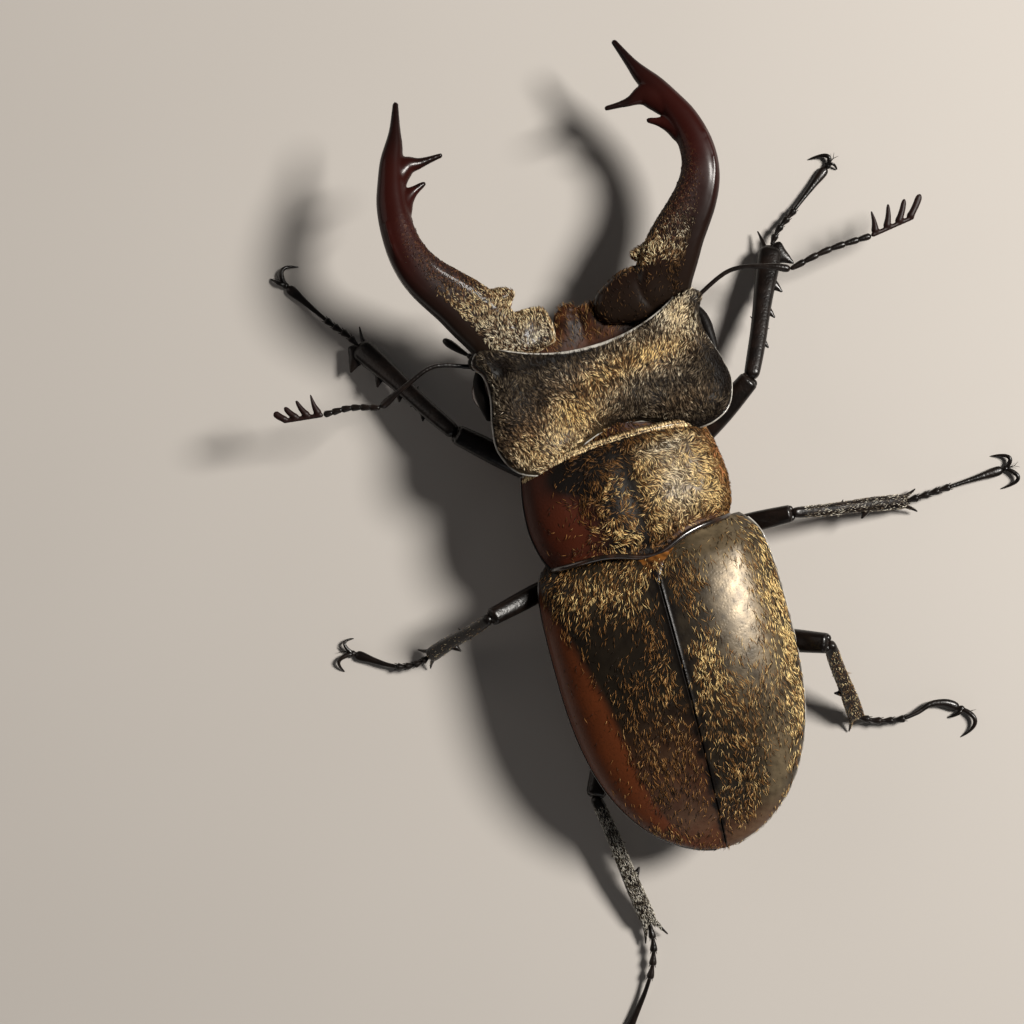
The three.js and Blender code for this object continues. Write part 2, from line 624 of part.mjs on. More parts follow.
// Both claws are one plate, cut to their outline from above and bent down to the floor.
// The outline runs out along one claw's outer side, back to the crotch, and round the other.
function claws(leg, foot) {
  const [before, joint] = leg.foot.slice(-2).map(({ x, y }) => spot(x, y));
  const root = joint.clone().addScaledVector(joint.clone().sub(before).normalize(), CLAW_ROOT);
  const toward = leg.claws.map(([knuckle]) => knuckle.clone().sub(root).normalize());
  const bisector = toward[0].clone().add(toward[1]).normalize();
  const opening = Math.acos(THREE.MathUtils.clamp(toward[0].dot(toward[1]), -1, 1)) / 2;
  const crotch = root.clone().addScaledVector(bisector, CLAW_HALF_WIDTH / Math.sin(opening));
  const sideOf = (i, t, hand) => {
    const curve = new THREE.SplineCurve([root, ...leg.claws[i]]);
    const tangent = curve.getTangentAt(t);
    const normal = spot(-tangent.y, tangent.x);
    const outer = Math.sign(spot(-toward[i].y, toward[i].x).dot(bisector)) * -hand;
    const reach = THREE.MathUtils.lerp(CLAW_HALF_WIDTH, CLAW_TIP_HALF_WIDTH, t);
    return curve.getPointAt(t).addScaledVector(normal, outer * reach);
  };
  const plate = new THREE.ExtrudeGeometry(new THREE.Shape([
    ...[0, 0.25, 0.5, 0.75, 1].map((t) => sideOf(0, t, 1)),
    ...[1, 0.75, 0.55, 0.35].map((t) => sideOf(0, t, -1)),
    crotch,
    ...[0.35, 0.55, 0.75, 1].map((t) => sideOf(1, t, -1)),
    ...[1, 0.75, 0.5, 0.25, 0].map((t) => sideOf(1, t, 1)),
  ]), { depth: 1, bevelEnabled: false });
  const length = Math.max(...leg.claws.map(([, tip]) => tip.distanceTo(root)));
  const { position } = plate.attributes;
  for (let i = 0; i < position.count; i += 1) {
    const out = spot(position.getX(i), position.getY(i)).distanceTo(root) / length;
    const level = position.getZ(i) > 0.5 ? 1 : -1;
    position.setZ(i, CLAW_HEIGHT(out) + level * CLAW_HALF_HEIGHT(out));
  }
  return standing(seated(tidied(plate), JOINT_GAP, foot));
}

// ---------------------------------------------------------------- assembly
const beetle = new THREE.Group();
beetle.add(front);

function put(parent, name, geometry, material) {
  const mesh = new THREE.Mesh(geometry, material);
  mesh.name = name;
  parent.add(mesh);
}

put(beetle, 'metathorax', metathorax, BLACK);
put(beetle, 'abdomen', abdomen, BLACK);
put(beetle, 'scutellum', scutellum, HAIRY);
put(beetle, 'elytron_left', wingCase(1), BRONZE);
put(beetle, 'elytron_right', wingCase(-1), BRONZE);
put(front, 'pronotum', pronotumShape, HAIRY);
put(headGroup, 'head', head, HAIRY);
put(headGroup, 'clypeus', clypeus(), MAHOGANY);
put(headGroup, 'palp_left', palp(1, vec(11.3, -11.7, -2.6)), BLACK);
put(headGroup, 'palp_right', palp(-1, vec(-9.6, -12.0, -2.8)), BLACK);
for (const [name, side] of [['left', 1], ['right', -1]]) {
  put(headGroup, `mandible_${name}`, mandible(side), MAHOGANY);
  put(headGroup, `eye_${name}`, eye(side), EYE);
  const feeler = ANTENNAE[name];
  put(headGroup, `antenna_scape_${name}`, scape(feeler.scape), BLACK);
  put(headGroup, `antenna_whip_${name}`, whip(feeler.whip), BLACK);
  put(headGroup, `antenna_club_${name}`, club(feeler.whip.at(-1), feeler.club), CLUB);
}
for (const [name, leg] of Object.entries(LEGS)) {
  const trunk = leg.sizes === 'front' ? [inTrunk(pronotumShape)] : [metathorax, abdomen];
  const hipPiece = coxa(leg, trunk);
  const thigh = femur(leg, [hipPiece, ...trunk]);
  const shin = tibia(leg, thigh);
  const foot = tarsus(leg, shin);
  put(beetle, `${name}_coxa`, hipPiece, BLACK);
  put(beetle, `${name}_femur`, thigh, BLACK);
  put(beetle, `${name}_tibia`, shin, BLACK);
  put(beetle, `${name}_tarsus`, foot, BLACK);
  put(beetle, `${name}_claws`, claws(leg, foot), BLACK);
}

const box = new THREE.Box3().setFromObject(beetle, true);
beetle.position.set(-(box.min.x + box.max.x) / 2, -(box.min.y + box.max.y) / 2, 0);

export default beetle;
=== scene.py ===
import math

import bpy
import numpy as np
from mathutils import Matrix, Vector


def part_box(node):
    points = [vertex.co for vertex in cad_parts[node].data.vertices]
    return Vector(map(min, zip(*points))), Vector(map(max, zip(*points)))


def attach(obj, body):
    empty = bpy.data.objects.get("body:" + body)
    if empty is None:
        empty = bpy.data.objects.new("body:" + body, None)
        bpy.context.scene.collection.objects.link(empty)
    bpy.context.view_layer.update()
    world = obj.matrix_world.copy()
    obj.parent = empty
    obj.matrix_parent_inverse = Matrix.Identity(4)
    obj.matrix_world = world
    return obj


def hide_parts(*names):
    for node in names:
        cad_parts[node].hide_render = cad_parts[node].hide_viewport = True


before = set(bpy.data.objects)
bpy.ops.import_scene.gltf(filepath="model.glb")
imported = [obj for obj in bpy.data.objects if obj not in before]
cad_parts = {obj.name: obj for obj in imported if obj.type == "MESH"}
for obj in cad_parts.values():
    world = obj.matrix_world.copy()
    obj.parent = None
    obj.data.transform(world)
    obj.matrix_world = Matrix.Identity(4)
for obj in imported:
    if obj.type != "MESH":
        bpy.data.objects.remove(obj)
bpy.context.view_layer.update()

# ---------------------------------------------------------------- where the beetle lies
MM = 0.001
UP = Vector((0, 0, 1))
SIDES = {"left": 1, "right": -1}
WING_TAIL = 25.1  # y of the wing cases' tip in the beetle's own frame
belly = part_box("abdomen")
tail = max(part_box(name)[1].y for name in ("elytron_left", "elytron_right"))
PLACE = Matrix.Translation(((belly[0].x + belly[1].x) / 2, tail - WING_TAIL * MM, 0))

NECK_HEIGHT = 8.0
TRUNK = Matrix.Identity(4)
FRONT = (
    Matrix.Translation((0.35, -1, NECK_HEIGHT))
    @ Matrix.Rotation(math.radians(2.4), 4, "Z")  # turned to the left
    @ Matrix.Rotation(math.radians(-7), 4, "Y")  # leaning to the right
)
HEAD = FRONT @ Matrix.Translation((-0.85, -10, 0))


# ---------------------------------------------------------------- modelling tools
ARC_STEPS = 8
WELD = 0.002  # points closer than this become one
SMOOTH_ANGLE = math.radians(50)  # edges sharper than this stay sharp


def smooth_through(*pairs):
    """A smooth function through a few (place, value) pairs, flat beyond its two ends."""
    places, values = zip(*pairs)
    last = len(pairs) - 1

    def slope(i):
        before, after = max(i - 1, 0), min(i + 1, last)
        return (values[after] - values[before]) / (places[after] - places[before])

    def value(place):
        if place <= places[0]:
            return values[0]
        if place >= places[last]:
            return values[last]
        i = next(i for i in range(last) if places[i + 1] > place)
        span, rise = places[i + 1] - places[i], values[i + 1] - values[i]
        t = (place - places[i]) / span
        bend = (1 - t) * (slope(i) * span - rise) - t * (slope(i + 1) * span - rise)
        return values[i] + t * rise + t * (1 - t) * bend

    return value


def blend(a, b, t):
    return a + (b - a) * t


def bump(value, middle, width):
    """1 at the middle, fading to 0 over a few widths."""
    return math.exp(-(((value - middle) / width) ** 2))


def bump_rows(values, middle, width):
    """The same for a whole array."""
    return np.exp(-(((values - middle) / width) ** 2))


def sideways(heading):
    """The level direction at right angles to a heading."""
    return heading.cross(UP).normalized()


def arc(start, middle, end):
    """Points on a smooth bow from start to end that passes through the middle."""
    start, middle, end = Vector(start), Vector(middle), Vector(end)
    peak = 2 * middle - (start + end) / 2
    shares = [i / ARC_STEPS for i in range(ARC_STEPS + 1)]
    return [start.lerp(peak, t).lerp(peak.lerp(end, t), t) for t in shares]


class Path:
    """A smooth line through a few points, measured by its length."""

    def __init__(self, points, grain=20):
        stops = [Vector(point) for point in points]
        stops = [2 * stops[0] - stops[1], *stops, 2 * stops[-1] - stops[-2]]
        self.samples = []
        for a, b, c, d in zip(stops, stops[1:], stops[2:], stops[3:]):
            for i in range(grain):
                t = i / grain
                self.samples.append(
                    b
                    + 0.5 * t * (c - a)
                    + t**2 * (a - 2.5 * b + 2 * c - 0.5 * d)
                    + t**3 * (1.5 * b - 1.5 * c + 0.5 * d - 0.5 * a)
                )
        self.samples.append(stops[-2])
        steps = [(b - a).length for a, b in zip(self.samples, self.samples[1:])]
        self.reach = [0.0, *np.cumsum(steps)]
        self.length = self.reach[-1]

    def at(self, t):
        distance = min(max(t, 0), 1) * self.length
        i = min(int(np.searchsorted(self.reach, distance, "right")) - 1, len(self.reach) - 2)
        share = (distance - self.reach[i]) / (self.reach[i + 1] - self.reach[i])
        return self.samples[i].lerp(self.samples[i + 1], share)

    def heading(self, t):
        return (self.at(t + 0.01) - self.at(t - 0.01)).normalized()

    def part(self, start, end, stops=5):
        """A stretch of the line, as a path of its own."""
        return Path([self.at(blend(start, end, i / (stops - 1))) for i in range(stops)])


def deselect():
    bpy.ops.object.select_all(action="DESELECT")


def only(*pieces):
    """Selects these pieces, with the first one active."""
    deselect()
    for piece in pieces:
        piece.select_set(True)
    bpy.context.view_layer.objects.active = pieces[0]


def tidy_mesh(piece):
    """Closes the poles and seams, and turns the faces outwards."""
    only(piece)
    bpy.ops.object.mode_set(mode="EDIT")
    bpy.ops.mesh.select_all(action="SELECT")
    bpy.ops.mesh.remove_doubles(threshold=WELD * MM)
    bpy.ops.mesh.normals_make_consistent(inside=False)
    bpy.ops.object.mode_set(mode="OBJECT")


def drum(name, sides, steps, place, part=TRUNK, cap=2):
    """A closed body in rings: a sphere whose every point is put in its place. place takes
    the share of the way round, the share along from one end to the other, and the share out
    from the middle, which is below 1 only in the cap rings at the two ends."""
    deselect()
    rings = steps + 2 * cap
    bpy.ops.mesh.primitive_uv_sphere_add(segments=sides, ring_count=rings, radius=1)
    piece = bpy.context.object
    piece.name = piece.data.name = name
    to_frame = PLACE @ Matrix.Scale(MM, 4) @ part
    for vertex in piece.data.vertices:
        x, y, z = vertex.co
        ring = round(math.acos(min(max(z, -1), 1)) / math.pi * rings)
        around = math.atan2(y, x) / math.tau % 1
        along = min(max((ring - cap) / steps, 0), 1)
        out = min(ring / cap, (rings - ring) / cap, 1) if cap else 1
        vertex.co = to_frame @ Vector(place(around, along, out))
    tidy_mesh(piece)
    return piece


def limb(name, path, half_width, half_height=None, sides=12, steps=20, part=TRUNK,
         domes=(1, 1), flat=lambda t: 0):
    """A round-ended body along a path. domes are its two ends' roundings in half widths,
    and flat squares its section."""
    path = path if isinstance(path, Path) else Path(path)
    half_height = half_height or half_width

    def place(around, along, _out):
        t = (1 - math.cos(math.pi * along)) / 2
        dome = 1
        for near, reach in ((t, domes[0] * half_width(0)), (1 - t, domes[1] * half_width(1))):
            share = min(near * path.length / max(reach, 1e-6), 1)
            dome = min(dome, math.sqrt(max(1 - (1 - share) ** 2, 0)))
        heading = path.heading(t)
        side = sideways(heading)
        top = side.cross(heading)
        cosine, sine = math.cos(math.tau * around), math.sin(math.tau * around)
        power = 2 + flat(t)
        full = (abs(cosine) ** power + abs(sine) ** power) ** (-1 / power)
        return (
            path.at(t)
            + side * (dome * full * cosine * half_width(t))
            + top * (dome * full * sine * half_height(t))
        )

    return drum(name, sides, steps, place, part, cap=0)


def ball(name, middle, radii, part=TRUNK, segments=24, rings=16):
    """An egg, to be joined into something larger."""
    deselect()
    bpy.ops.mesh.primitive_uv_sphere_add(segments=segments, ring_count=rings, radius=1)
    piece = bpy.context.object
    piece.name = piece.data.name = name
    shape = Matrix.Translation(middle) @ Matrix.Diagonal((*radii, 1))
    piece.data.transform(PLACE @ Matrix.Scale(MM, 4) @ part @ shape)
    return piece


def spine(root, tip, root_radius, tip_radius, sides=8, bow=(0, 0, 0)):
    """A pointed spine, bowed at its middle."""
    root, tip = Vector(root), Vector(tip)
    middle = (root + tip) / 2 + Vector(bow)
    radius = smooth_through(
        (0, root_radius),
        (0.25, root_radius * 0.8),
        (0.6, blend(root_radius, tip_radius, 0.62)),
        (1, tip_radius),
    )
    return limb("spine", [root, middle, tip], radius, sides=sides, steps=12)


def joined(name, *pieces):
    """Makes one mesh of a few pieces."""
    only(*pieces)
    bpy.ops.object.join()
    piece = bpy.context.object
    piece.name = piece.data.name = name
    return piece


def modified(piece, kind, **settings):
    """Applies a modifier with these settings."""
    only(piece)
    modifier = piece.modifiers.new(kind.title(), kind)
    for setting, value in settings.items():
        setattr(modifier, setting, value)
    bpy.ops.object.modifier_apply(modifier=modifier.name)


def melted(piece, grain, passes):
    """Makes one skin of what overlaps, with soft fillets, and unwraps it."""
    modified(piece, "REMESH", mode="VOXEL", voxel_size=grain * MM, adaptivity=0)
    modified(piece, "SMOOTH", factor=0.5, iterations=passes)
    only(piece)
    bpy.ops.object.mode_set(mode="EDIT")
    bpy.ops.mesh.select_all(action="SELECT")
    bpy.ops.uv.smart_project(angle_limit=math.radians(66), island_margin=0.004)
    bpy.ops.object.mode_set(mode="OBJECT")


def points_of(piece, part=TRUNK):
    """A piece's points in a part's own millimetres, one row each."""
    flat = np.empty(3 * len(piece.data.vertices))
    piece.data.vertices.foreach_get("co", flat)
    return to_part(flat.reshape(-1, 3), part)


def to_part(points, part):
    back = np.array((PLACE @ Matrix.Scale(MM, 4) @ part).inverted())
    return points @ back[:3, :3].T + back[:3, 3]


def mark(piece, **marks):
    """Stores numbers from 0 to 1 at the points, which the finishes read by name. One number
    may do for all the points."""
    for name, values in marks.items():
        layer = piece.data.attributes.new(name, "FLOAT", "POINT")
        layer.data.foreach_set("value", np.clip(values, 0, 1) + np.zeros(len(piece.data.vertices)))


def shown(piece, nodes, slot, *finishes):
    """Gives a piece its finish and smooth shading, parents it to the root and hides the model's nodes it
    stands for.
    """
    piece.data.materials.clear()
    for finish in finishes:
        piece.data.materials.append(finish.material)
    only(piece)
    bpy.ops.object.shade_smooth_by_angle(angle=SMOOTH_ANGLE)
    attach(piece, "root")
    if nodes:
        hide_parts(*nodes)
    return piece


# ---------------------------------------------------------------- finish tools
class Wire:
    """One socket of a finish, with Python's own arithmetic."""

    def __init__(self, finish, socket):
        self.finish = finish
        self.socket = socket

    def _math(self, operation, *values):
        return self.finish.node("ShaderNodeMath", {"operation": operation}, dict(enumerate(values)))

    def __add__(self, other):
        return self._math("ADD", self, other)

    def __sub__(self, other):
        return self._math("SUBTRACT", self, other)

    def __rsub__(self, other):
        return self._math("SUBTRACT", other, self)

    def __mul__(self, other):
        return self._math("MULTIPLY", self, other)

    def between(self, low, high):
        """0 below low, 1 above high and a soft step from one to the other."""
        settings = {"interpolation_type": "SMOOTHSTEP"}
        return self.finish.node("ShaderNodeMapRange", settings, {0: self, 1: low, 2: high})


class Finish:
    """A material: a Principled surface and the nodes that vary it."""

    def __init__(self, name, **surface):
        self.material = bpy.data.materials.new(name)
        self.material.use_nodes = True
        self.tree = self.material.node_tree
        self.surface = self.tree.nodes["Principled BSDF"]
        self.set(**surface)

    def set(self, **surface):
        """Sets the surface's sockets by name, to values or wires."""
        sockets = {socket.name.lower().replace(" ", "_"): socket for socket in self.surface.inputs}
        for name, value in surface.items():
            self._feed(sockets[name], value)
        return self

    def _feed(self, socket, value):
        if isinstance(value, Wire):
            self.tree.links.new(value.socket, socket)
        elif socket.type == "RGBA" and len(value) == 3:
            socket.default_value = (*value, 1)
        else:
            socket.default_value = value

    def node(self, kind, settings=None, inputs=None, output=0):
        """Any node: its settings first, then the values or wires of its sockets."""
        node = self.tree.nodes.new(kind)
        for setting, value in (settings or {}).items():
            if setting == "stops":
                ramp = node.color_ramp
                while len(ramp.elements) < len(value):
                    ramp.elements.new(0.5)
                for element, (place, color) in zip(ramp.elements, value):
                    element.position = place
                    element.color = (*color, 1)
            else:
                setattr(node, setting, value)
        for key, value in (inputs or {}).items():
            self._feed(node.inputs[key], value)
        return Wire(self, node.outputs[output])

    def place(self):
        return self.node("ShaderNodeTexCoord", output="Object")

    def marked(self, name):
        return self.node("ShaderNodeAttribute", {"attribute_name": name}, output="Fac")

    def noise(self, size, detail=3, roughness=0.55, stretch=None):
        """Cloudy variation with features of this size in millimetres."""
        spot = self.place()
        if stretch:
            spot = self.node("ShaderNodeVectorMath", {"operation": "MULTIPLY"}, {0: spot, 1: stretch})
        inputs = {"Vector": spot, "Scale": 1 / (size * MM), "Detail": detail, "Roughness": roughness}
        return self.node("ShaderNodeTexNoise", None, inputs)

    def cells(self, size, randomness=1.0):
        """The distance from the nearest of many points, this far apart in millimetres."""
        inputs = {"Vector": self.place(), "Scale": 1 / (size * MM), "Randomness": randomness}
        return self.node("ShaderNodeTexVoronoi", {"feature": "F1"}, inputs)

    def mix(self, amount, first, second):
        inputs = {0: amount, 6: first, 7: second}
        return self.node("ShaderNodeMix", {"data_type": "RGBA"}, inputs, output=2)

    def ramp(self, value, *stops):
        return self.node("ShaderNodeValToRGB", {"stops": stops}, {0: value})

    def relief(self, height, depth, strength=1.0, under=None):
        """A bump of this depth in millimetres, over another one if there is one."""
        inputs = {"Strength": strength, "Distance": depth * MM, "Height": height}
        if under:
            inputs["Normal"] = under
        return self.node("ShaderNodeBump", None, inputs)


# ---------------------------------------------------------------- finishes
def wing_case_finish():
    """Black shell, satin bronze where it is marked, in part a painted sheen where the light falls on the
    right wing case, and chestnut on the flanks and the tail, on the left flank in part a painted warm
    reflection.
    """
    finish = Finish("wing_case_bronze", specular_ior_level=0.10, coat_roughness=0.4)
    bronze, flank = finish.marked("bronze"), finish.marked("flank")
    cloud, speck = finish.noise(2.2), finish.noise(0.22, 2)
    # Painted sheen: the bronze mark lightens the shell towards bronze, and on the right wing case most of it
    # lies where the light's highlight falls.
    color = finish.mix(bronze * (cloud * 0.6 + 0.6), (0.004, 0.003, 0.0025), (0.20, 0.150, 0.088))
    # Painted reflection: the left flank's chestnut is in part the shell's own translucent brown and in part a
    # painted warm reflection.
    color = finish.mix(flank * (cloud * 0.5 + 0.65), color, (0.100, 0.026, 0.0085))
    color = finish.mix(speck.between(0.56, 0.76) * 0.5, color, (0.012, 0.007, 0.004))
    pits = finish.cells(0.30)
    fine = finish.relief(finish.noise(0.09, 2), 0.012, 0.5)
    return finish.set(
        base_color=color,
        metallic=bronze * 0.2,
        coat_weight=bronze * 0.27,
        roughness=finish.noise(0.8, 3) * 0.2 + 0.22,
        normal=finish.relief(pits.between(0.0, 0.55), 0.014, 0.45, fine),
    )


def hairy_shell_finish():
    """The black-brown shell of head and pronotum, finely grained under its coat."""
    finish = Finish("hairy_shell", specular_ior_level=0.09, coat_roughness=0.36)
    bronze, flank, amber = (finish.marked(name) for name in ("bronze", "flank", "amber"))
    cloud = finish.noise(1.6)
    # The bronze mark lightens the shell, as a painted sheen under the pronotum's and the head's brightest
    # coat.
    color = finish.mix(bronze * (cloud * 0.6 + 0.6), (0.004, 0.003, 0.0025), (0.13, 0.086, 0.040))
    color = finish.mix(flank * (cloud * 0.4 + 0.7), color, (0.048, 0.0105, 0.0045))
    color = finish.mix(amber, color, (0.40, 0.165, 0.060))
    grains = finish.cells(0.26)
    fine = finish.relief(finish.noise(0.1, 2), 0.015, 0.6)
    return finish.set(
        base_color=color,
        coat_weight=bronze * 0.3,
        roughness=finish.noise(0.6, 3) * 0.22 + 0.36,
        normal=finish.relief(1 - grains.between(0.0, 0.5), 0.02, 0.5, fine),
    )


def rim_finish(name, thin, thick):
    """The lacquered beads along the plates' edges."""
    finish = Finish(name, specular_ior_level=0.6, coat_weight=0.5, coat_roughness=0.1)
    cloud = finish.noise(0.9)
    return finish.set(
        base_color=finish.mix(cloud.between(0.35, 0.8), thin, thick),
        roughness=cloud * 0.12 + 0.16,
        normal=finish.relief(finish.noise(0.18, 2), 0.008, 0.4),
    )


def jaw_finish():
    """Polished mahogany, black at the root and the tips, granular on its inner root half."""
    finish = Finish("jaw_mahogany", specular_ior_level=0.1, coat_weight=0.1, coat_roughness=0.1)
    reach, grain = finish.marked("reach"), finish.marked("grain")
    cloud = finish.noise(2.0)
    tone = reach + (cloud - 0.5) * 0.12
    color = finish.ramp(
        tone,
        (0.0, (0.010, 0.006, 0.004)),
        (0.25, (0.010, 0.0045, 0.0035)),
        (0.5, (0.020, 0.0038, 0.0028)),
        (0.75, (0.019, 0.0038, 0.0028)),
        (0.95, (0.007, 0.0030, 0.0025)),
    )
    color = finish.mix(grain * finish.noise(0.25, 2).between(0.5, 0.7), color, (0.060, 0.022, 0.010))
    color = finish.mix(finish.marked("amber"), color, (0.30, 0.16, 0.045))
    knobs = 1 - finish.cells(0.24).between(0.0, 0.45)
    smooth = finish.relief(finish.noise(0.5, 2), 0.01, 0.3)
    return finish.set(
        base_color=color,
        roughness=grain * 0.28 + cloud * 0.14 + 0.22,
        normal=finish.relief(knobs * grain, 0.04, 0.8, smooth),
    )


def lip_finish():
    """The thin reddish-brown plate between the jaws."""
    finish = Finish("lip_brown", specular_ior_level=0.1)
    cloud = finish.noise(1.1)
    return finish.set(
        base_color=finish.mix(cloud.between(0.3, 0.75), (0.010, 0.0045, 0.003), (0.050, 0.016, 0.006)),
        roughness=cloud * 0.2 + 0.36,
        normal=finish.relief(finish.noise(0.3, 3), 0.04, 0.6),
    )


def leg_finish():
    """Black-brown horn with fine punctures, and the tawny patch under each thigh."""
    finish = Finish("leg_black", specular_ior_level=0.22, coat_weight=0.12, coat_roughness=0.12)
    cloud, patch = finish.noise(1.3), finish.marked("patch")
    color = finish.mix(cloud.between(0.3, 0.8), (0.0032, 0.0023, 0.0019), (0.009, 0.0050, 0.0035))
    color = finish.mix(patch * (cloud * 0.6 + 0.6), color, (0.34, 0.125, 0.022))
    pits = finish.cells(0.24)
    lines = finish.relief(finish.noise(0.3, 3), 0.03, 0.5)
    return finish.set(
        base_color=color,
        roughness=cloud * 0.18 + 0.24,
        normal=finish.relief(pits.between(0.0, 0.6), 0.02, 0.5, lines),
    )


def belly_finish():
    """The dark, finely wrinkled plates of the underside."""
    finish = Finish("belly_black", specular_ior_level=0.5)
    cloud = finish.noise(1.8)
    wrinkles = finish.noise(0.45, 4, 0.6, (1, 2.6, 1))
    return finish.set(
        base_color=finish.mix(cloud.between(0.3, 0.8), (0.010, 0.007, 0.005), (0.040, 0.020, 0.010)),
        roughness=cloud * 0.2 + 0.3,
        normal=finish.relief(wrinkles, 0.06, 0.6, finish.relief(finish.cells(0.3), 0.02, 0.5)),
    )


def eye_finish():
    """A dark red-brown eye with its fine facets."""
    finish = Finish("eye_facets", specular_ior_level=0.7, coat_weight=0.8, coat_roughness=0.06)
    facets = finish.cells(0.07, 0.25)
    cloud = finish.noise(0.8)
    return finish.set(
        base_color=finish.mix(cloud, (0.020, 0.005, 0.003), (0.055, 0.014, 0.006)),
        roughness=cloud * 0.1 + 0.14,
        normal=finish.relief(1 - facets.between(0.0, 0.6), 0.01, 0.45),
    )


def club_finish():
    """The dull red-brown of the feelers' clubs."""
    finish = Finish("club_brown", specular_ior_level=0.2)
    cloud = finish.noise(0.3)
    return finish.set(
        base_color=finish.mix(cloud, (0.005, 0.0018, 0.0013), (0.016, 0.0040, 0.0026)),
        roughness=cloud * 0.15 + 0.4,
        normal=finish.relief(finish.noise(0.06, 2), 0.015, 0.6),
    )


def hair_finish(name, light, grey):
    """Hairs from near black through orange-brown to light, each with its own tone and grey."""
    finish = Finish(name, specular_ior_level=0.2)
    tint, grey_share = finish.marked("tint"), finish.marked("grey")
    middle = finish.mix(grey_share, (0.27, 0.122, 0.034), (0.20, 0.165, 0.115))
    color = finish.mix(tint.between(0.0, 0.45), (0.008, 0.004, 0.002), middle)
    color = finish.mix(tint.between(0.35, 0.95), color, finish.mix(grey_share, light, grey))
    streak = finish.noise(0.12, 2)
    return finish.set(base_color=color, metallic=streak * 0.2, roughness=streak * 0.15 + 0.34)


WING_CASE = wing_case_finish()
HAIRY_SHELL = hairy_shell_finish()
RIM = rim_finish("rim_black", (0.006, 0.004, 0.003), (0.028, 0.012, 0.006))
# Painted glint: this pale rim stands for the black lacquered rim catching the light as a thin bright line.
GLINT_PAINTED_RIM = rim_finish("rim_pale", (0.42, 0.40, 0.36), (0.09, 0.07, 0.05))
JAW = jaw_finish()
LIP = lip_finish()
LEG = leg_finish()
BELLY = belly_finish()
EYE = eye_finish()
CLUB = club_finish()
GOLD_HAIR = hair_finish("hair_gold", (1.0, 0.75, 0.34), (0.86, 0.79, 0.64))
PALE_HAIR = hair_finish("hair_pale", (1.0, 0.83, 0.46), (0.84, 0.80, 0.70))


# ---------------------------------------------------------------- plates in slices
def slices(edge, middle, crown, keel, fullness, under_fullness, relief=None,
           sweep=lambda across, along: abs(across) ** 2.2):
    """A place for drum: slices from side to side, one behind the other. edge gives the side
    margin, middle the slice's y on the midline, crown and keel the heights there, and sweep
    how far a slice has swung from the midline's y to the margin's."""

    def place(around, along, out):
        margin = edge(along)
        cosine = out * math.cos(math.tau * around)
        sine = out * math.sin(math.tau * around)
        power = 2 / (fullness if sine >= 0 else under_fullness)
        across = math.copysign(abs(cosine) ** power, cosine)
        reach = crown(along) - margin[2] if sine >= 0 else margin[2] - keel(along)
        return (
            across * margin[0],
            middle(along) + (margin[1] - middle(along)) * sweep(across, along),
            margin[2]
            + math.copysign(reach * abs(sine) ** power, sine)
            + (relief(across, along, sine) if relief else 0),
        )

    return place


def bead(name, path, radius, part=TRUNK, steps=60):
    """A thin raised edge along a plate."""
    return limb(name, Path(path, 6), lambda t: radius, sides=10, steps=steps, part=part)


# ---------------------------------------------------------------- trunk
BELLY_TOP = 7.5
THORAX_FRONT, THORAX_REAR = -1.6, 7.8
ABDOMEN_FRONT, ABDOMEN_TAIL = 8.0, 24.0
RINGS = 5  # plates that show under the abdomen


def hind_thorax():
    """The breast, with a groove down its middle and hollows at the hips."""
    thorax_width = smooth_through((0, 8.3), (0.3, 9.0), (1, 9.3))

    def thorax_relief(across, along, sine):
        if sine >= 0:
            return 0
        groove = 0.35 * bump(across, 0, 0.05) * bump(along, 0.6, 0.35)
        hips = 0.5 * bump(abs(across), 0.42, 0.12) * bump(along, 0.05, 0.12)
        return groove + hips

    piece = drum(
        "hind_thorax", 72, 40,
        slices(
            edge=lambda t: (thorax_width(t), blend(THORAX_FRONT, THORAX_REAR, t), BELLY_TOP - 0.3),
            middle=lambda t: blend(THORAX_FRONT, THORAX_REAR, t),
            crown=lambda t: BELLY_TOP,
            keel=smooth_through((0, 4.0), (0.25, 3.1), (1, 3.0)),
            fullness=6,
            under_fullness=1.5,
            relief=thorax_relief,
        ),
    )
    return shown(piece, ["metathorax"], "black_shell", BELLY)


def abdomen_rings():
    """The abdomen under the wing cases, in overlapping plates below."""

    def stretch(t):
        return 1 - (1 - t) ** 1.5

    def abdomen_edge(t):
        along = stretch(t)
        taper = (1 - (along * 0.985) ** 2.6) ** (1 / 1.9)
        y = blend(ABDOMEN_FRONT, ABDOMEN_TAIL, along)
        return (0.2 + 9.1 * taper, y, BELLY_TOP - 0.3 - 0.5 * along**2)

    def ring_relief(across, along, sine):
        if sine >= 0:
            return 0
        seam = abs(stretch(along) * RINGS % 1 - 0.02)
        fold = 0.22 * bump(seam, 0, 0.05) + 0.12 * min(seam * 2, 1)
        return fold * min(1, -sine * 3)

    piece = drum(
        "abdomen_rings", 72, 90,
        slices(
            edge=abdomen_edge,
            middle=lambda t: blend(ABDOMEN_FRONT, ABDOMEN_TAIL, stretch(t)),
            crown=lambda t: BELLY_TOP - 0.6 * t**2,
            keel=smooth_through((0, 3.0), (0.3, 3.1), (0.65, 4.3), (1, 6.3)),
            fullness=6,
            under_fullness=1.7,
            relief=ring_relief,
        ),
    )
    return shown(piece, ["abdomen"], "black_shell", BELLY)


# ---------------------------------------------------------------- wing cases
WING_FRONT, WING_WIDEST = -1.8, 6.3
WING_HALF_WIDTH = 10.05
WING_FULLNESS = 2.35
SUTURE = 0.012  # half the gap between the two
wing_crown = smooth_through(
    (-1.8, 11.4), (0, 12.3), (3, 13.0), (8, 13.4), (13, 13.1), (18, 11.8), (22, 9.9),
    (24.4, 8.2), (25.1, 7.4),
)


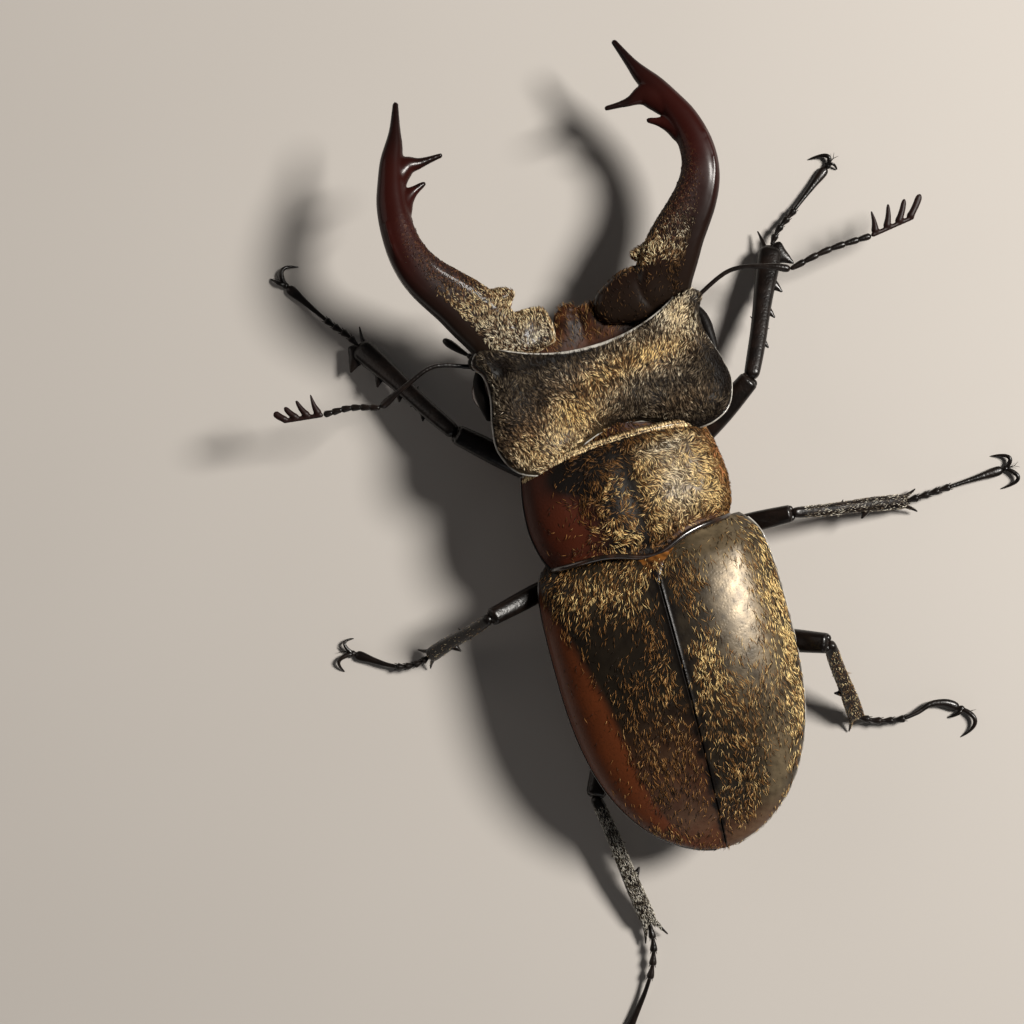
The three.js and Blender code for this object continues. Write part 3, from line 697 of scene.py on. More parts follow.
def wing_half_width(y):
    behind = (y - WING_WIDEST) / (WING_TAIL - WING_WIDEST)
    if behind > 0:
        return WING_HALF_WIDTH * max(1 - (behind * 0.999) ** 2.8, 0) ** (1 / 1.8)
    ahead = (WING_WIDEST - y) / (WING_WIDEST - WING_FRONT)
    return WING_HALF_WIDTH - 0.7 * ahead**2.5 - ahead**8


def wing_edge_height(y):
    return 8.0 - 0.9 * max(0, (y - 16) / (WING_TAIL - 16)) ** 2


def wing_dip(side, y):
    """The front of the wing cases dives under the pronotum, more so on the right."""
    ahead = min(max((0.4 - y) / 1.6, 0), 1)
    return (0.65 if side > 0 else 1.15) * ahead * ahead * (3 - 2 * ahead)


def wing_case(side, name):
    """One wing case with the rim along its side."""
    roof = 0.74  # share of the section that is the domed upper face
    lip = 0.09  # radius of the rounded edge along the seam

    def place(around, along, out):
        y = blend(WING_FRONT, WING_TAIL, 1 - (1 - along) ** 1.5)
        reach = max(wing_half_width(y), 0.15)
        edge, crown = wing_edge_height(y), wing_crown(y)
        if around <= roof:
            across = math.sin(math.pi / 2 * (around / roof) ** 1.6) ** (2 / WING_FULLNESS)
            x = blend(SUTURE, reach, across)
            z = edge + (crown - edge) * (1 - across**WING_FULLNESS) ** (1 / WING_FULLNESS)
            inward = x - SUTURE
            z -= lip * (1 - math.sqrt(1 - (1 - min(inward / lip, 1)) ** 2))
            z += 0.05 * bump(inward, 0.12, 0.08)
            z += 0.22 * bump(across, 0.74, 0.13) * bump(y, 0.6, 1.6)
        else:
            across = 1 - (around - roof) / (1 - roof)
            x = blend(SUTURE, reach, across)
            z = edge - 0.25 * min(1, (1 - across) * 12) ** 0.5
        x, z = blend(reach / 2, x, out), blend(edge, z, out)
        return side * x, y, z - wing_dip(side, y)

    shell = drum(f"wing_case_{name}_shell", 96, 110, place, cap=1)
    marks = wing_marks(points_of(shell))
    mark(shell, bronze=marks["bronze"], flank=marks["flank"])
    stops = 59
    ys = [blend(-1.2, WING_TAIL - 0.05, 1 - (1 - i / stops) ** 1.8) for i in range(stops + 1)]
    margin = [
        (side * max(wing_half_width(y) - 0.02, 0.1), y, wing_edge_height(y) - 0.02 - wing_dip(side, y))
        for y in ys
    ]
    rim = bead(f"wing_case_rim_{name}", margin, 0.14, steps=150)
    shown(shell, [f"elytron_{name}"], "wing_case", WING_CASE)
    # The right wing case's rim gets the pale painted glint, the left one stays black.
    shown(rim, [], "black_shell", RIM if side > 0 else GLINT_PAINTED_RIM)
    return shell


# ---------------------------------------------------------------- markings
def soft_spots(u, v, spots):
    """Adds up soft patches, each (u, v, half length in u, half length in v, amount)."""
    return sum(
        amount * np.exp(-(((u - at_u) / du) ** 2) - ((v - at_v) / dv) ** 2)
        for at_u, at_v, du, dv, amount in spots
    )


def step(value, low, high):
    """0 below low, 1 above high and a soft step from one to the other."""
    t = np.clip((value - low) / (high - low), 0, 1)
    return t * t * (3 - 2 * t)


def ripple(points, size, seed):
    """Smooth random variation from about -1 to 1, with features of this size."""
    rng = np.random.default_rng(seed)
    waves = rng.normal(size=(9, 3))
    waves *= rng.uniform(0.6, 1.8, (9, 1)) / np.linalg.norm(waves, axis=1, keepdims=True)
    phases = rng.uniform(0, math.tau, 9)
    return np.sin(points @ (waves.T * math.tau / size) + phases).sum(axis=1) / 2.4


def nearest(line, points):
    """How far each point is from a line, seen from above, and the line's closest stop."""
    gaps = ((points[:, None, :2] - line[:, :2]) ** 2).sum(axis=2)
    closest = gaps.argmin(axis=1)
    return np.sqrt(gaps[np.arange(len(points)), closest]), closest


WING_PLACES = np.linspace(WING_FRONT, WING_TAIL, 200)
WING_WIDTHS = [wing_half_width(y) for y in WING_PLACES]


def wing_marks(points):
    """Where the wing cases are bronze, on the right one in part a painted sheen, chestnut, on the left flank
    in part a painted warm reflection, and coated, and how bright the coat is, on the right one in part
    painted glints. The patches lie at (share of the half width, share of the length)."""
    x, y = points[:, 0], points[:, 1]
    u = np.abs(x) / np.maximum(np.interp(y, WING_PLACES, WING_WIDTHS), 0.3)
    v = (y - WING_FRONT) / (WING_TAIL - WING_FRONT)
    left = step(x, -0.02, 0.02)
    clumps = ripple(points, 2.2, 4) * 0.5 + ripple(points, 0.8, 5) * 0.5
    seam = step(u + 0.03 * clumps, 0.0, 0.11 - 0.03 * v)
    bare_from = np.interp(v, (0, 0.15, 0.25, 0.45, 0.6, 1), (1.1, 0.92, 0.82, 0.68, 0.63, 0.63))
    # The left wing case's flank is chestnut, in part its own brown and in part a painted warm reflection, and
    # its coat is left off.
    flank = left * step(u, bare_from - 0.05, bare_from + 0.05)

    coat_left = 0.16 + soft_spots(u, v, [
        (0.45, 0.11, 0.55, 0.08, 0.75), (0.42, 0.29, 0.20, 0.07, -0.14), (0.60, 0.40, 0.10, 0.14, -0.14),
        (0.17, 0.45, 0.10, 0.30, 0.42), (0.45, 0.62, 0.20, 0.20, 0.42), (0.30, 0.88, 0.35, 0.05, -0.20),
        (0.80, 0.90, 0.16, 0.04, 0.50),
    ])
    coat_left = coat_left * (1 - flank * (0.96 - 0.2 * step(v, 0.6, 0.75)))
    coat_left = coat_left + 0.45 * soft_spots(u, v, [(0.80, 0.90, 0.16, 0.035, 1.0)])
    coat_right = 0.24 + soft_spots(u, v, [
        (0.20, 0.17, 0.14, 0.09, 0.45), (0.06, 0.28, 0.12, 0.06, -0.60), (0.20, 0.40, 0.11, 0.09, 0.65),
        (0.38, 0.58, 0.26, 0.14, 0.40), (0.35, 0.82, 0.26, 0.09, 0.45), (0.86, 0.38, 0.10, 0.32, 0.95),
        (0.50, 0.25, 0.17, 0.15, -0.35), (0.75, 0.82, 0.16, 0.12, -0.40), (0.50, 0.96, 0.50, 0.04, -0.30),
        (0.45, 0.02, 0.50, 0.04, -0.30),
    ])
    coat = (left * coat_left + (1 - left) * coat_right) * (1 + 0.75 * clumps)

    bright_left = 0.42 + soft_spots(u, v, [
        (0.45, 0.12, 0.50, 0.08, 0.30), (0.30, 0.17, 0.12, 0.05, 0.2), (0.45, 0.30, 0.30, 0.10, -0.15),
        (0.17, 0.45, 0.10, 0.20, 0.10), (0.80, 0.90, 0.16, 0.04, 0.2), (0.5, 0.8, 0.4, 0.1, -0.1),
    ])
    # Painted glint: the right wing case's coat is brighter overall, most along its outer margin and over the
    # shoulder, where its hairs catch the light.
    bright_and_glint_right = 0.55 + soft_spots(u, v, [
        (0.20, 0.40, 0.12, 0.10, 0.55), (0.87, 0.36, 0.09, 0.30, 1.35), (0.06, 0.25, 0.1, 0.1, -0.2),
        (0.50, 0.25, 0.17, 0.15, 0.25),
    ])
    bronze_left = 0.03 + soft_spots(u, v, [
        (0.45, 0.10, 0.50, 0.08, 0.12), (0.40, 0.72, 0.30, 0.16, 0.08), (0.30, 0.90, 0.40, 0.07, 0.20),
    ])
    # Painted sheen: the big patches on the right wing case's shoulder and outer half lie where the light's
    # highlight falls.
    bronze_and_sheen_right = 0.06 + soft_spots(u, v, [
        (0.54, 0.20, 0.17, 0.16, 0.66), (0.50, 0.44, 0.16, 0.14, 0.35), (0.76, 0.30, 0.14, 0.30, 0.55),
        (0.76, 0.78, 0.20, 0.16, 0.40), (0.45, 0.02, 0.50, 0.05, 0.35), (0.50, 0.97, 0.50, 0.05, 0.30),
    ])
    return {
        "coat": np.clip(coat, 0, 1) * seam * (1 - step(u, 0.955, 0.985)),
        "bright": np.clip(left * bright_left + (1 - left) * bright_and_glint_right, 0, 1.6),
        "bronze": (left * bronze_left + (1 - left) * bronze_and_sheen_right) * seam * (1 + 0.3 * clumps),
        # The left wing case's middle chestnut is the same part-painted reflection; the tail's chestnut is its
        # own colour.
        "flank": np.maximum(flank, seam * (0.4 * step(v, 0.84, 0.97) + 0.3 * left * step(v, 0.45, 0.8))),
    }


def shield():
    """The little triangular plate between the wing cases' front corners."""
    half_width = smooth_through((0, 2.2), (0.4, 1.8), (0.75, 0.9), (1, 0.1))

    def place(around, along, out):
        y = blend(-1.4, 1.9, along)
        cosine, sine = out * math.cos(math.tau * around), out * math.sin(math.tau * around)
        top = wing_crown(y) - 0.5 * wing_dip(-1, y) + 0.10 - 0.18 * cosine**2 - 0.1 * along**4
        return half_width(along) * cosine, y, top - 0.35 * (1 - sine)

    piece = drum("shield_plate", 48, 30, place, cap=2)
    points = points_of(piece)
    glow = 0.45 * step(-points[:, 1], -0.9, -0.1)
    mark(piece, patch=glow * (0.75 + 0.4 * ripple(points, 0.9, 12)))
    return shown(piece, ["scutellum"], "black_shell", LEG)


# ---------------------------------------------------------------- pronotum
PRONOTUM_LENGTH = 9.35
pronotum_half_width = smooth_through(
    (0, 7.7), (0.16, 8.3), (0.4, 8.65), (0.6, 8.6), (0.8, 8.35), (1, 7.95)
)
pronotum_crown = smooth_through((0, 3.8), (0.15, 4.35), (0.45, 4.7), (0.8, 4.2), (1, 3.3))


def pronotum_edge(t):
    return pronotum_half_width(t), -0.35 - 8.35 * t, -0.1 + 0.35 * t


def pronotum_relief(across, along, sine):
    if sine < 0:
        return 0
    groove = -0.30 * bump(across, 0.035, 0.06) * step(along, 0.06, 0.3) * step(-along, -0.97, -0.8)
    dents = -0.25 * bump(abs(across), 0.55, 0.12) * bump(along, 0.6, 0.16)
    swell = 0.12 * bump(abs(across), 0.24, 0.14) * bump(along, 0.4, 0.25)
    rear = -0.22 * bump(along, 0.09, 0.045)
    return (groove + dents + swell + rear) * min(1, sine * 3)


def pronotum_sweep(across, along):
    """The rear edge bulges in its middle third only, the front edge all over."""
    return blend(1 - bump(across, 0, 0.34), abs(across) ** 2.2, step(along, 0.0, 0.6))


pronotum_place = slices(
    edge=pronotum_edge,
    middle=lambda t: blend(0.85, -0.05 - PRONOTUM_LENGTH, t),
    crown=pronotum_crown,
    keel=smooth_through((0, -3.4), (0.3, -4.7), (0.75, -4.6), (1, -3.2)),
    fullness=2.5,
    under_fullness=1.5,
    relief=pronotum_relief,
    sweep=pronotum_sweep,
)


PRONOTUM_PLACES = np.linspace(0, 1, 40)
PRONOTUM_WIDTHS = [pronotum_half_width(t) for t in PRONOTUM_PLACES]


def pronotum_marks(points):
    """Golden whorls on the right, brightened and silvered there as a painted sheen, curly tufts left of the
    middle, the left flank bare.
    """
    x, y = points[:, 0], points[:, 1]
    v = -(y + 0.1) / (PRONOTUM_LENGTH - np.abs(x / 8.3) ** 2.2)
    u = np.abs(x) / np.interp(v, PRONOTUM_PLACES, PRONOTUM_WIDTHS)
    left = step(x, -0.8, 0.2)
    clumps = ripple(points, 1.9, 14) * 0.5 + ripple(points, 0.8, 15) * 0.5
    groove = 1 - bump_rows(x, 0.15, 0.30 + 0.35 * bump_rows(v, 0.55, 0.16))
    coat_left = 0.72 + soft_spots(x, y, [(4.6, -7.2, 1.7, 1.2, -0.6), (2.0, -7.9, 1.6, 0.5, -0.2)])
    coat_left = coat_left * (1 - 0.9 * step(x, 3.0, 5.4) - 0.08 * step(x, 5.4, 7.0)) * (1 + 0.6 * clumps)
    coat_right = 0.97 + soft_spots(x, y, [(-4.0, -0.7, 3.0, 0.45, -0.5)])
    # Painted sheen: the broad bright patch over the right half stands for the light's highlight on the hairs.
    bright = 0.24 + soft_spots(x, y, [
        (-3.9, -4.6, 2.9, 3.2, 1.5), (-6.2, -3.2, 1.0, 1.8, 0.6), (-3.6, -7.6, 2.8, 0.8, 0.6),
        (1.5, -5.3, 1.3, 1.5, 0.45), (1.7, -1.5, 1.9, 1.3, 0.75), (3.2, -3.2, 1.0, 1.6, 0.25),
        (-1.2, -1.9, 0.9, 1.3, 0.2), (5.6, -1.6, 1.2, 1.2, 0.2),
    ])
    return {
        "coat": np.clip(left * coat_left + (1 - left) * coat_right, 0, 1)
        * groove * (1 - step(u, 0.95, 0.98)) * step(-v, -0.99, -0.96),
        "bright": np.clip(bright * (1 + 0.2 * clumps), 0, 1.8),
        # The silver patches on the right half are the same painted sheen.
        "grey": soft_spots(x, y, [(-3.6, -4.4, 1.6, 2.4, 0.75), (-3.5, -7.7, 2.6, 0.6, 0.8)]),
        # The shell is lightened under the right half's painted sheen.
        "bronze": np.clip(soft_spots(x, y, [(-4.0, -4.4, 2.7, 3.1, 1.2)]), 0, 1) * groove,
        "flank": np.clip(step(x, 2.6, 5.6) + 0.5 * step(-x, 1.0, 3.0) * step(y, -2.0, -0.8)
                         - soft_spots(x, y, [(4.6, -7.4, 2.2, 1.6, 1.7)]), 0, 1),
        "amber": step(-x, 6.9, 8.0) * step(-y, 1.5, 5.0),
    }


def pronotum():
    """The shell behind the head, with the beads along its edges."""
    shell = drum("pronotum_shell", 120, 80, pronotum_place, FRONT, cap=4)
    marks = pronotum_marks(points_of(shell, FRONT))
    mark(shell, **{name: marks[name] for name in ("bronze", "flank", "amber")})

    def margin(side, t):
        reach, y, z = pronotum_edge(t)
        return side * (reach + 0.02), y, z

    def across_top(t, lift):
        """A line over the top from one side margin to the other, at a place along."""
        turns = [blend(0.0, 0.5, i / 40) for i in range(41)]
        return [Vector(pronotum_place(turn, t, 1)) + UP * lift for turn in turns]

    sides = [
        bead("rim", [margin(side, i / 24) for i in range(25)], 0.15, FRONT)
        for side in SIDES.values()
    ]
    rear = bead("rear_rim", across_top(0.012, 0.05), 0.25, FRONT, steps=110)
    collar = bead("collar", across_top(0.985, -0.05), 0.12, FRONT, steps=110)
    rims = joined("pronotum_rims", *sides, rear, collar)
    shown(shell, ["pronotum"], "hairy_shell", HAIRY_SHELL)
    shown(rims, [], "black_shell", RIM)
    return shell


# ---------------------------------------------------------------- head
# In the head's own frame: y = 0 at the neck, z = 0 at the neck's height.
HEAD_SIDE = Path([
    (5.6, 1.85, 2.2), (7.6, 1.7, 2.3), (9.3, 0.8, 2.1), (10.2, -1.2, 1.8), (10.0, -3.2, 1.5),
    (9.4, -5.6, 1.2), (9.4, -7.4, 1.0), (10.0, -8.6, 0.9), (9.2, -9.5, 0.9), (7.9, -9.2, 1.0),
])
HEAD_SIDE_STEPS = 200
HEAD_SIDE_POINTS = [HEAD_SIDE.at(i / HEAD_SIDE_STEPS) for i in range(HEAD_SIDE_STEPS + 1)]
HEAD_REAR, HEAD_FRONT = -0.35, -7.1  # y on the midline
SADDLE = 2.2  # how the rear and front edges swing out to the sides
HEAD_MAP_STEP = 0.15
head_middle = smooth_through((0, HEAD_REAR), (0.5, -3.3), (0.9, -6.6), (1, HEAD_FRONT))
head_crown = smooth_through((0, 2.4), (0.4, 2.7), (0.75, 2.6), (1, 2.4))


def head_edge(t):
    return HEAD_SIDE_POINTS[round(min(max(t, 0), 1) * HEAD_SIDE_STEPS)]


def head_outline():
    """The rim of the head's top: its right side, rear edge, left side and front edge."""
    first, last = HEAD_SIDE_POINTS[0], HEAD_SIDE_POINTS[-1]
    shares = np.linspace(-1, 1, 121)
    rise = (1 - np.abs(shares) ** 3.2) ** (1 / 3.2)
    rear = np.column_stack([
        first.x * shares, HEAD_REAR + (first.y - HEAD_REAR) * np.abs(shares) ** SADDLE,
        first.z - 0.4 * rise,
    ])
    front = np.column_stack([
        last.x * shares, HEAD_FRONT + (last.y - HEAD_FRONT) * np.abs(shares) ** SADDLE,
        last.z + (head_crown(1) - last.z) * rise,
    ])
    left = np.array([tuple(point) for point in HEAD_SIDE_POINTS[::2]])
    right = left * (-1, 1, 1)
    return np.concatenate([right[::-1], rear, left, front[::-1]]), rear, front


HEAD_OUTLINE, HEAD_REAR_LINE, HEAD_FRONT_LINE = head_outline()


def head_heights():
    """A map of the top's height: gently saddled, and rolled down to its rim."""
    xs, ys = np.arange(-11, 11, HEAD_MAP_STEP), np.arange(-10.2, 2.7, HEAD_MAP_STEP)
    x, y = (grid.ravel() for grid in np.meshgrid(xs, ys))
    dome = 2.75 + soft_spots(np.abs(x), y, [
        (7.2, 0.0, 2.3, 1.9, 0.50), (0.0, -5.7, 4.4, 1.7, -0.50), (8.2, -7.3, 0.8, 0.8, -0.35),
        (0.2, 0.0, 1.5, 1.3, -0.55), (6.2, -4.4, 1.7, 1.8, -0.30), (0.0, -2.8, 2.6, 1.3, 0.15),
    ])
    gap, closest = nearest(HEAD_OUTLINE, np.column_stack([x, y]))
    roll = np.clip(gap / (0.6 + 1.1 * step(y, -7.2, -5.4)), 0, 1)
    rim = HEAD_OUTLINE[closest, 2]
    return xs, ys, (rim + (dome - rim) * np.sqrt(1 - (1 - roll) ** 2)).reshape(len(ys), len(xs))


HEAD_XS, HEAD_YS, HEAD_HEIGHTS = head_heights()


def head_top(x, y):
    """The height of the head's top at a spot, read from the map."""
    across = min(max((x - HEAD_XS[0]) / (HEAD_XS[1] - HEAD_XS[0]), 0), len(HEAD_XS) - 1.001)
    along = min(max((y - HEAD_YS[0]) / (HEAD_YS[1] - HEAD_YS[0]), 0), len(HEAD_YS) - 1.001)
    i, j = int(along), int(across)
    near, far = (blend(row[j], row[j + 1], across - j) for row in HEAD_HEIGHTS[i:i + 2])
    return blend(near, far, along - i)


head_slices = slices(
    edge=head_edge,
    middle=head_middle,
    crown=head_crown,
    keel=smooth_through((0, -2.4), (0.4, -3.4), (0.8, -3.2), (1, -1.6)),
    fullness=3.2,
    under_fullness=1.6,
    sweep=lambda across, along: abs(across) ** SADDLE,
)


def head_place(around, along, out):
    x, y, z = head_slices(around, along, out)
    if out < 1:
        return x, y, min(z, head_top(x, y))
    return x, y, head_top(x, y) if math.sin(math.tau * around) >= -1e-6 else z


def head_marks(points):
    """Where the coat is golden or silver, thick or thin, and how bright it is: golden in front of the right
    side and left of the middle, dark on the right rear lobe. The brightest gold is largely painted glints of
    hair in the light, and the dark strip along the front left is painted shadow."""
    x, y = points[:, 0], points[:, 1]
    gap = nearest(HEAD_OUTLINE, points)[0]
    clumps = ripple(points, 1.3, 25)
    streaks = ripple(points * (1, 0.35, 1), 0.36, 26)
    # The gold follows the band of painted glints, so it is in part a painted glint too.
    gold = 0.12 + soft_spots(x, y, [
        (-4.2, -5.0, 3.6, 1.3, 0.9), (3.4, -2.0, 2.9, 2.4, 0.9), (0.2, -4.3, 2.2, 1.5, 0.6),
        (8.0, -1.0, 1.8, 2.2, 0.55), (6.2, 0.8, 2.6, 1.2, 0.4), (-7.4, -7.6, 1.3, 1.5, 0.4),
        (-6.0, -0.5, 2.5, 1.0, 0.3),
    ])
    # Painted light: the strong spot at the right front corner and the band from the right front to the left
    # middle are painted glints of hair in the light; the dark strip along the front left at (3.6, -7.0) is
    # painted shadow.
    bright = 0.34 + soft_spots(x, y, [
        (-4.4, -5.2, 3.6, 1.35, 0.90), (3.3, -1.7, 2.6, 2.4, 0.80), (0.2, -4.2, 2.0, 1.5, 0.50),
        (-7.4, -7.6, 1.4, 1.6, 2.2), (-3.6, -7.0, 2.8, 0.45, 0.3), (9.3, -6.0, 0.7, 2.2, 0.45),
        (6.2, 0.5, 3.0, 1.5, 1.3), (-4.6, -1.2, 3.6, 2.0, 0.12), (-9.4, -2.0, 1.1, 3.4, -0.34),
        (6.0, -5.4, 2.4, 1.2, -0.10),
        (8.3, -7.5, 0.9, 0.8, -0.50), (3.6, -7.0, 3.6, 0.45, -0.30), (0.4, -0.3, 1.2, 0.6, -0.50),
        (-6.0, 1.5, 3.0, 0.5, -0.25),
    ])
    thin = soft_spots(x, y, [
        (8.3, -7.5, 0.9, 0.8, 0.9), (3.8, -6.95, 3.4, 0.3, 0.6), (0.4, -0.2, 1.3, 0.5, 0.8),
        (-9.6, -3.0, 0.8, 3.5, 0.8), (-9.0, -7.5, 0.7, 2.0, 0.9),
    ])
    return {
        "gold": np.clip(gold, 0, 1),
        "coat": np.clip(1 - thin, 0, 1) * step(gap, 0.10, 0.26),
        "bright": np.clip(bright * (1 + 0.12 * clumps) * (0.85 + 0.35 * streaks), 0.02, 2.0),
        # The shell is lightened with the gold and brightness, under the painted glints.
        "bronze": np.clip(0.55 * gold * bright, 0, 1),
    }


CANTHUS = [(9.35, -8.3, 0.1), (9.85, -7.0, 0.15), (9.95, -5.3, 0.35), (10.0, -3.8, 0.7)]


def head():
    """The head's shell, its rims, the ridges before its eyes, and the eyes."""
    shell = drum("head_shell", 150, 110, head_place, HEAD, cap=5)
    places = points_of(shell, HEAD)
    tops = np.array([head_top(x, y) for x, y in places[:, :2]])
    face = step(tops - places[:, 2], 0.15, 0.6) * step(-places[:, 1], 5.6, 7.0)
    mark(shell, bronze=head_marks(places)["bronze"], flank=face, amber=0)
    margin = [HEAD_SIDE.at(i / 40) for i in range(39)]
    sides = [
        bead("rim", [(side * p.x, p.y, p.z) for p in margin], 0.12, HEAD, steps=150)
        for side in SIDES.values()
    ]
    edges = [bead("edge_rim", line[::4], 0.14, HEAD, steps=130)
             for line in (HEAD_REAR_LINE, HEAD_FRONT_LINE)]
    sockets = [
        ball("socket", (side * 9.6, -8.75, 0.45), (0.68, 0.72, 0.66), HEAD)
        for side in SIDES.values()
    ]
    canthus = [  # the ridge that divides each eye from the rim
        limb("canthus", [(side * x, y, z) for x, y, z in CANTHUS],
             lambda t: 0.15 + 0.42 * math.sin(math.pi * blend(0.1, 0.95, t)), sides=16, steps=30,
             part=HEAD)
        for side in SIDES.values()
    ]
    rims = joined("head_rims", *sides, *edges)
    cheeks = joined("head_cheeks", *sockets, *canthus)
    mark(cheeks, bronze=0, flank=0, amber=0)
    shown(cheeks, [], "hairy_shell", HAIRY_SHELL)
    shown(shell, ["head"], "hairy_shell", HAIRY_SHELL)
    # The head's rims are painted pale, as glints of light on black lacquer.
    shown(rims, [], "black_shell", GLINT_PAINTED_RIM)
    for name, side in SIDES.items():
        eye = ball(f"eye_ball_{name}", (side * 9.35, -6.1, -0.35), (1.3, 1.55, 1.0), HEAD, 48, 32)
        tidy_mesh(eye)
        shown(eye, [f"eye_{name}"], "eye", EYE)
    return shell


def neck():
    """The soft dark ring between head and pronotum."""

    def place(around, along, out):
        cosine, sine = out * math.cos(math.tau * around), out * math.sin(math.tau * around)
        y = blend(-1.2, 2.2, along)
        return 5.0 * cosine, y + 0.5 * cosine**2, -0.2 + (2.1 + 0.25 * along) * sine

    piece = drum("neck_ring", 60, 24, place, HEAD, cap=3)
    mark(piece, bronze=0, flank=0.5, amber=0)
    return shown(piece, [], "hairy_shell", HAIRY_SHELL)


# ---------------------------------------------------------------- jaws
JAW_STEM = [
    (6.9, -8.0, -0.3), (7.5, -10.7, 0.1), (9.3, -13.6, 0.9), (11.5, -16.4, 1.6), (12.45, -18.5, 1.9),
    (12.7, -20.7, 1.9), (12.45, -23.3, 1.7), (11.55, -26.2, 1.3), (10.6, -28.3, 1.0), (9.52, -31.35, 0.6),
]
JAW_KNOBS = 16  # small knobs along the inner edge
jaw_half_width = smooth_through(
    (0, 2.3), (0.18, 2.4), (0.3, 2.1), (0.42, 1.75), (0.52, 1.48), (0.6, 1.36), (0.67, 1.25),
    (0.72, 1.12), (0.79, 0.98), (0.85, 0.76), (0.905, 0.48), (0.97, 0.3), (1, 0.24),
)
jaw_half_height = smooth_through(
    (0, 1.5), (0.2, 1.6), (0.4, 1.45), (0.6, 1.2), (0.78, 0.9), (0.88, 0.62), (1, 0.27)
)


def tooth(path, *widths):
    """A tooth with its half widths (share along, half width), and a little less thick."""
    width = smooth_through(*widths)
    return limb("tooth", path, width, lambda t: 0.12 + 0.62 * width(t), sides=24, steps=48, part=HEAD)


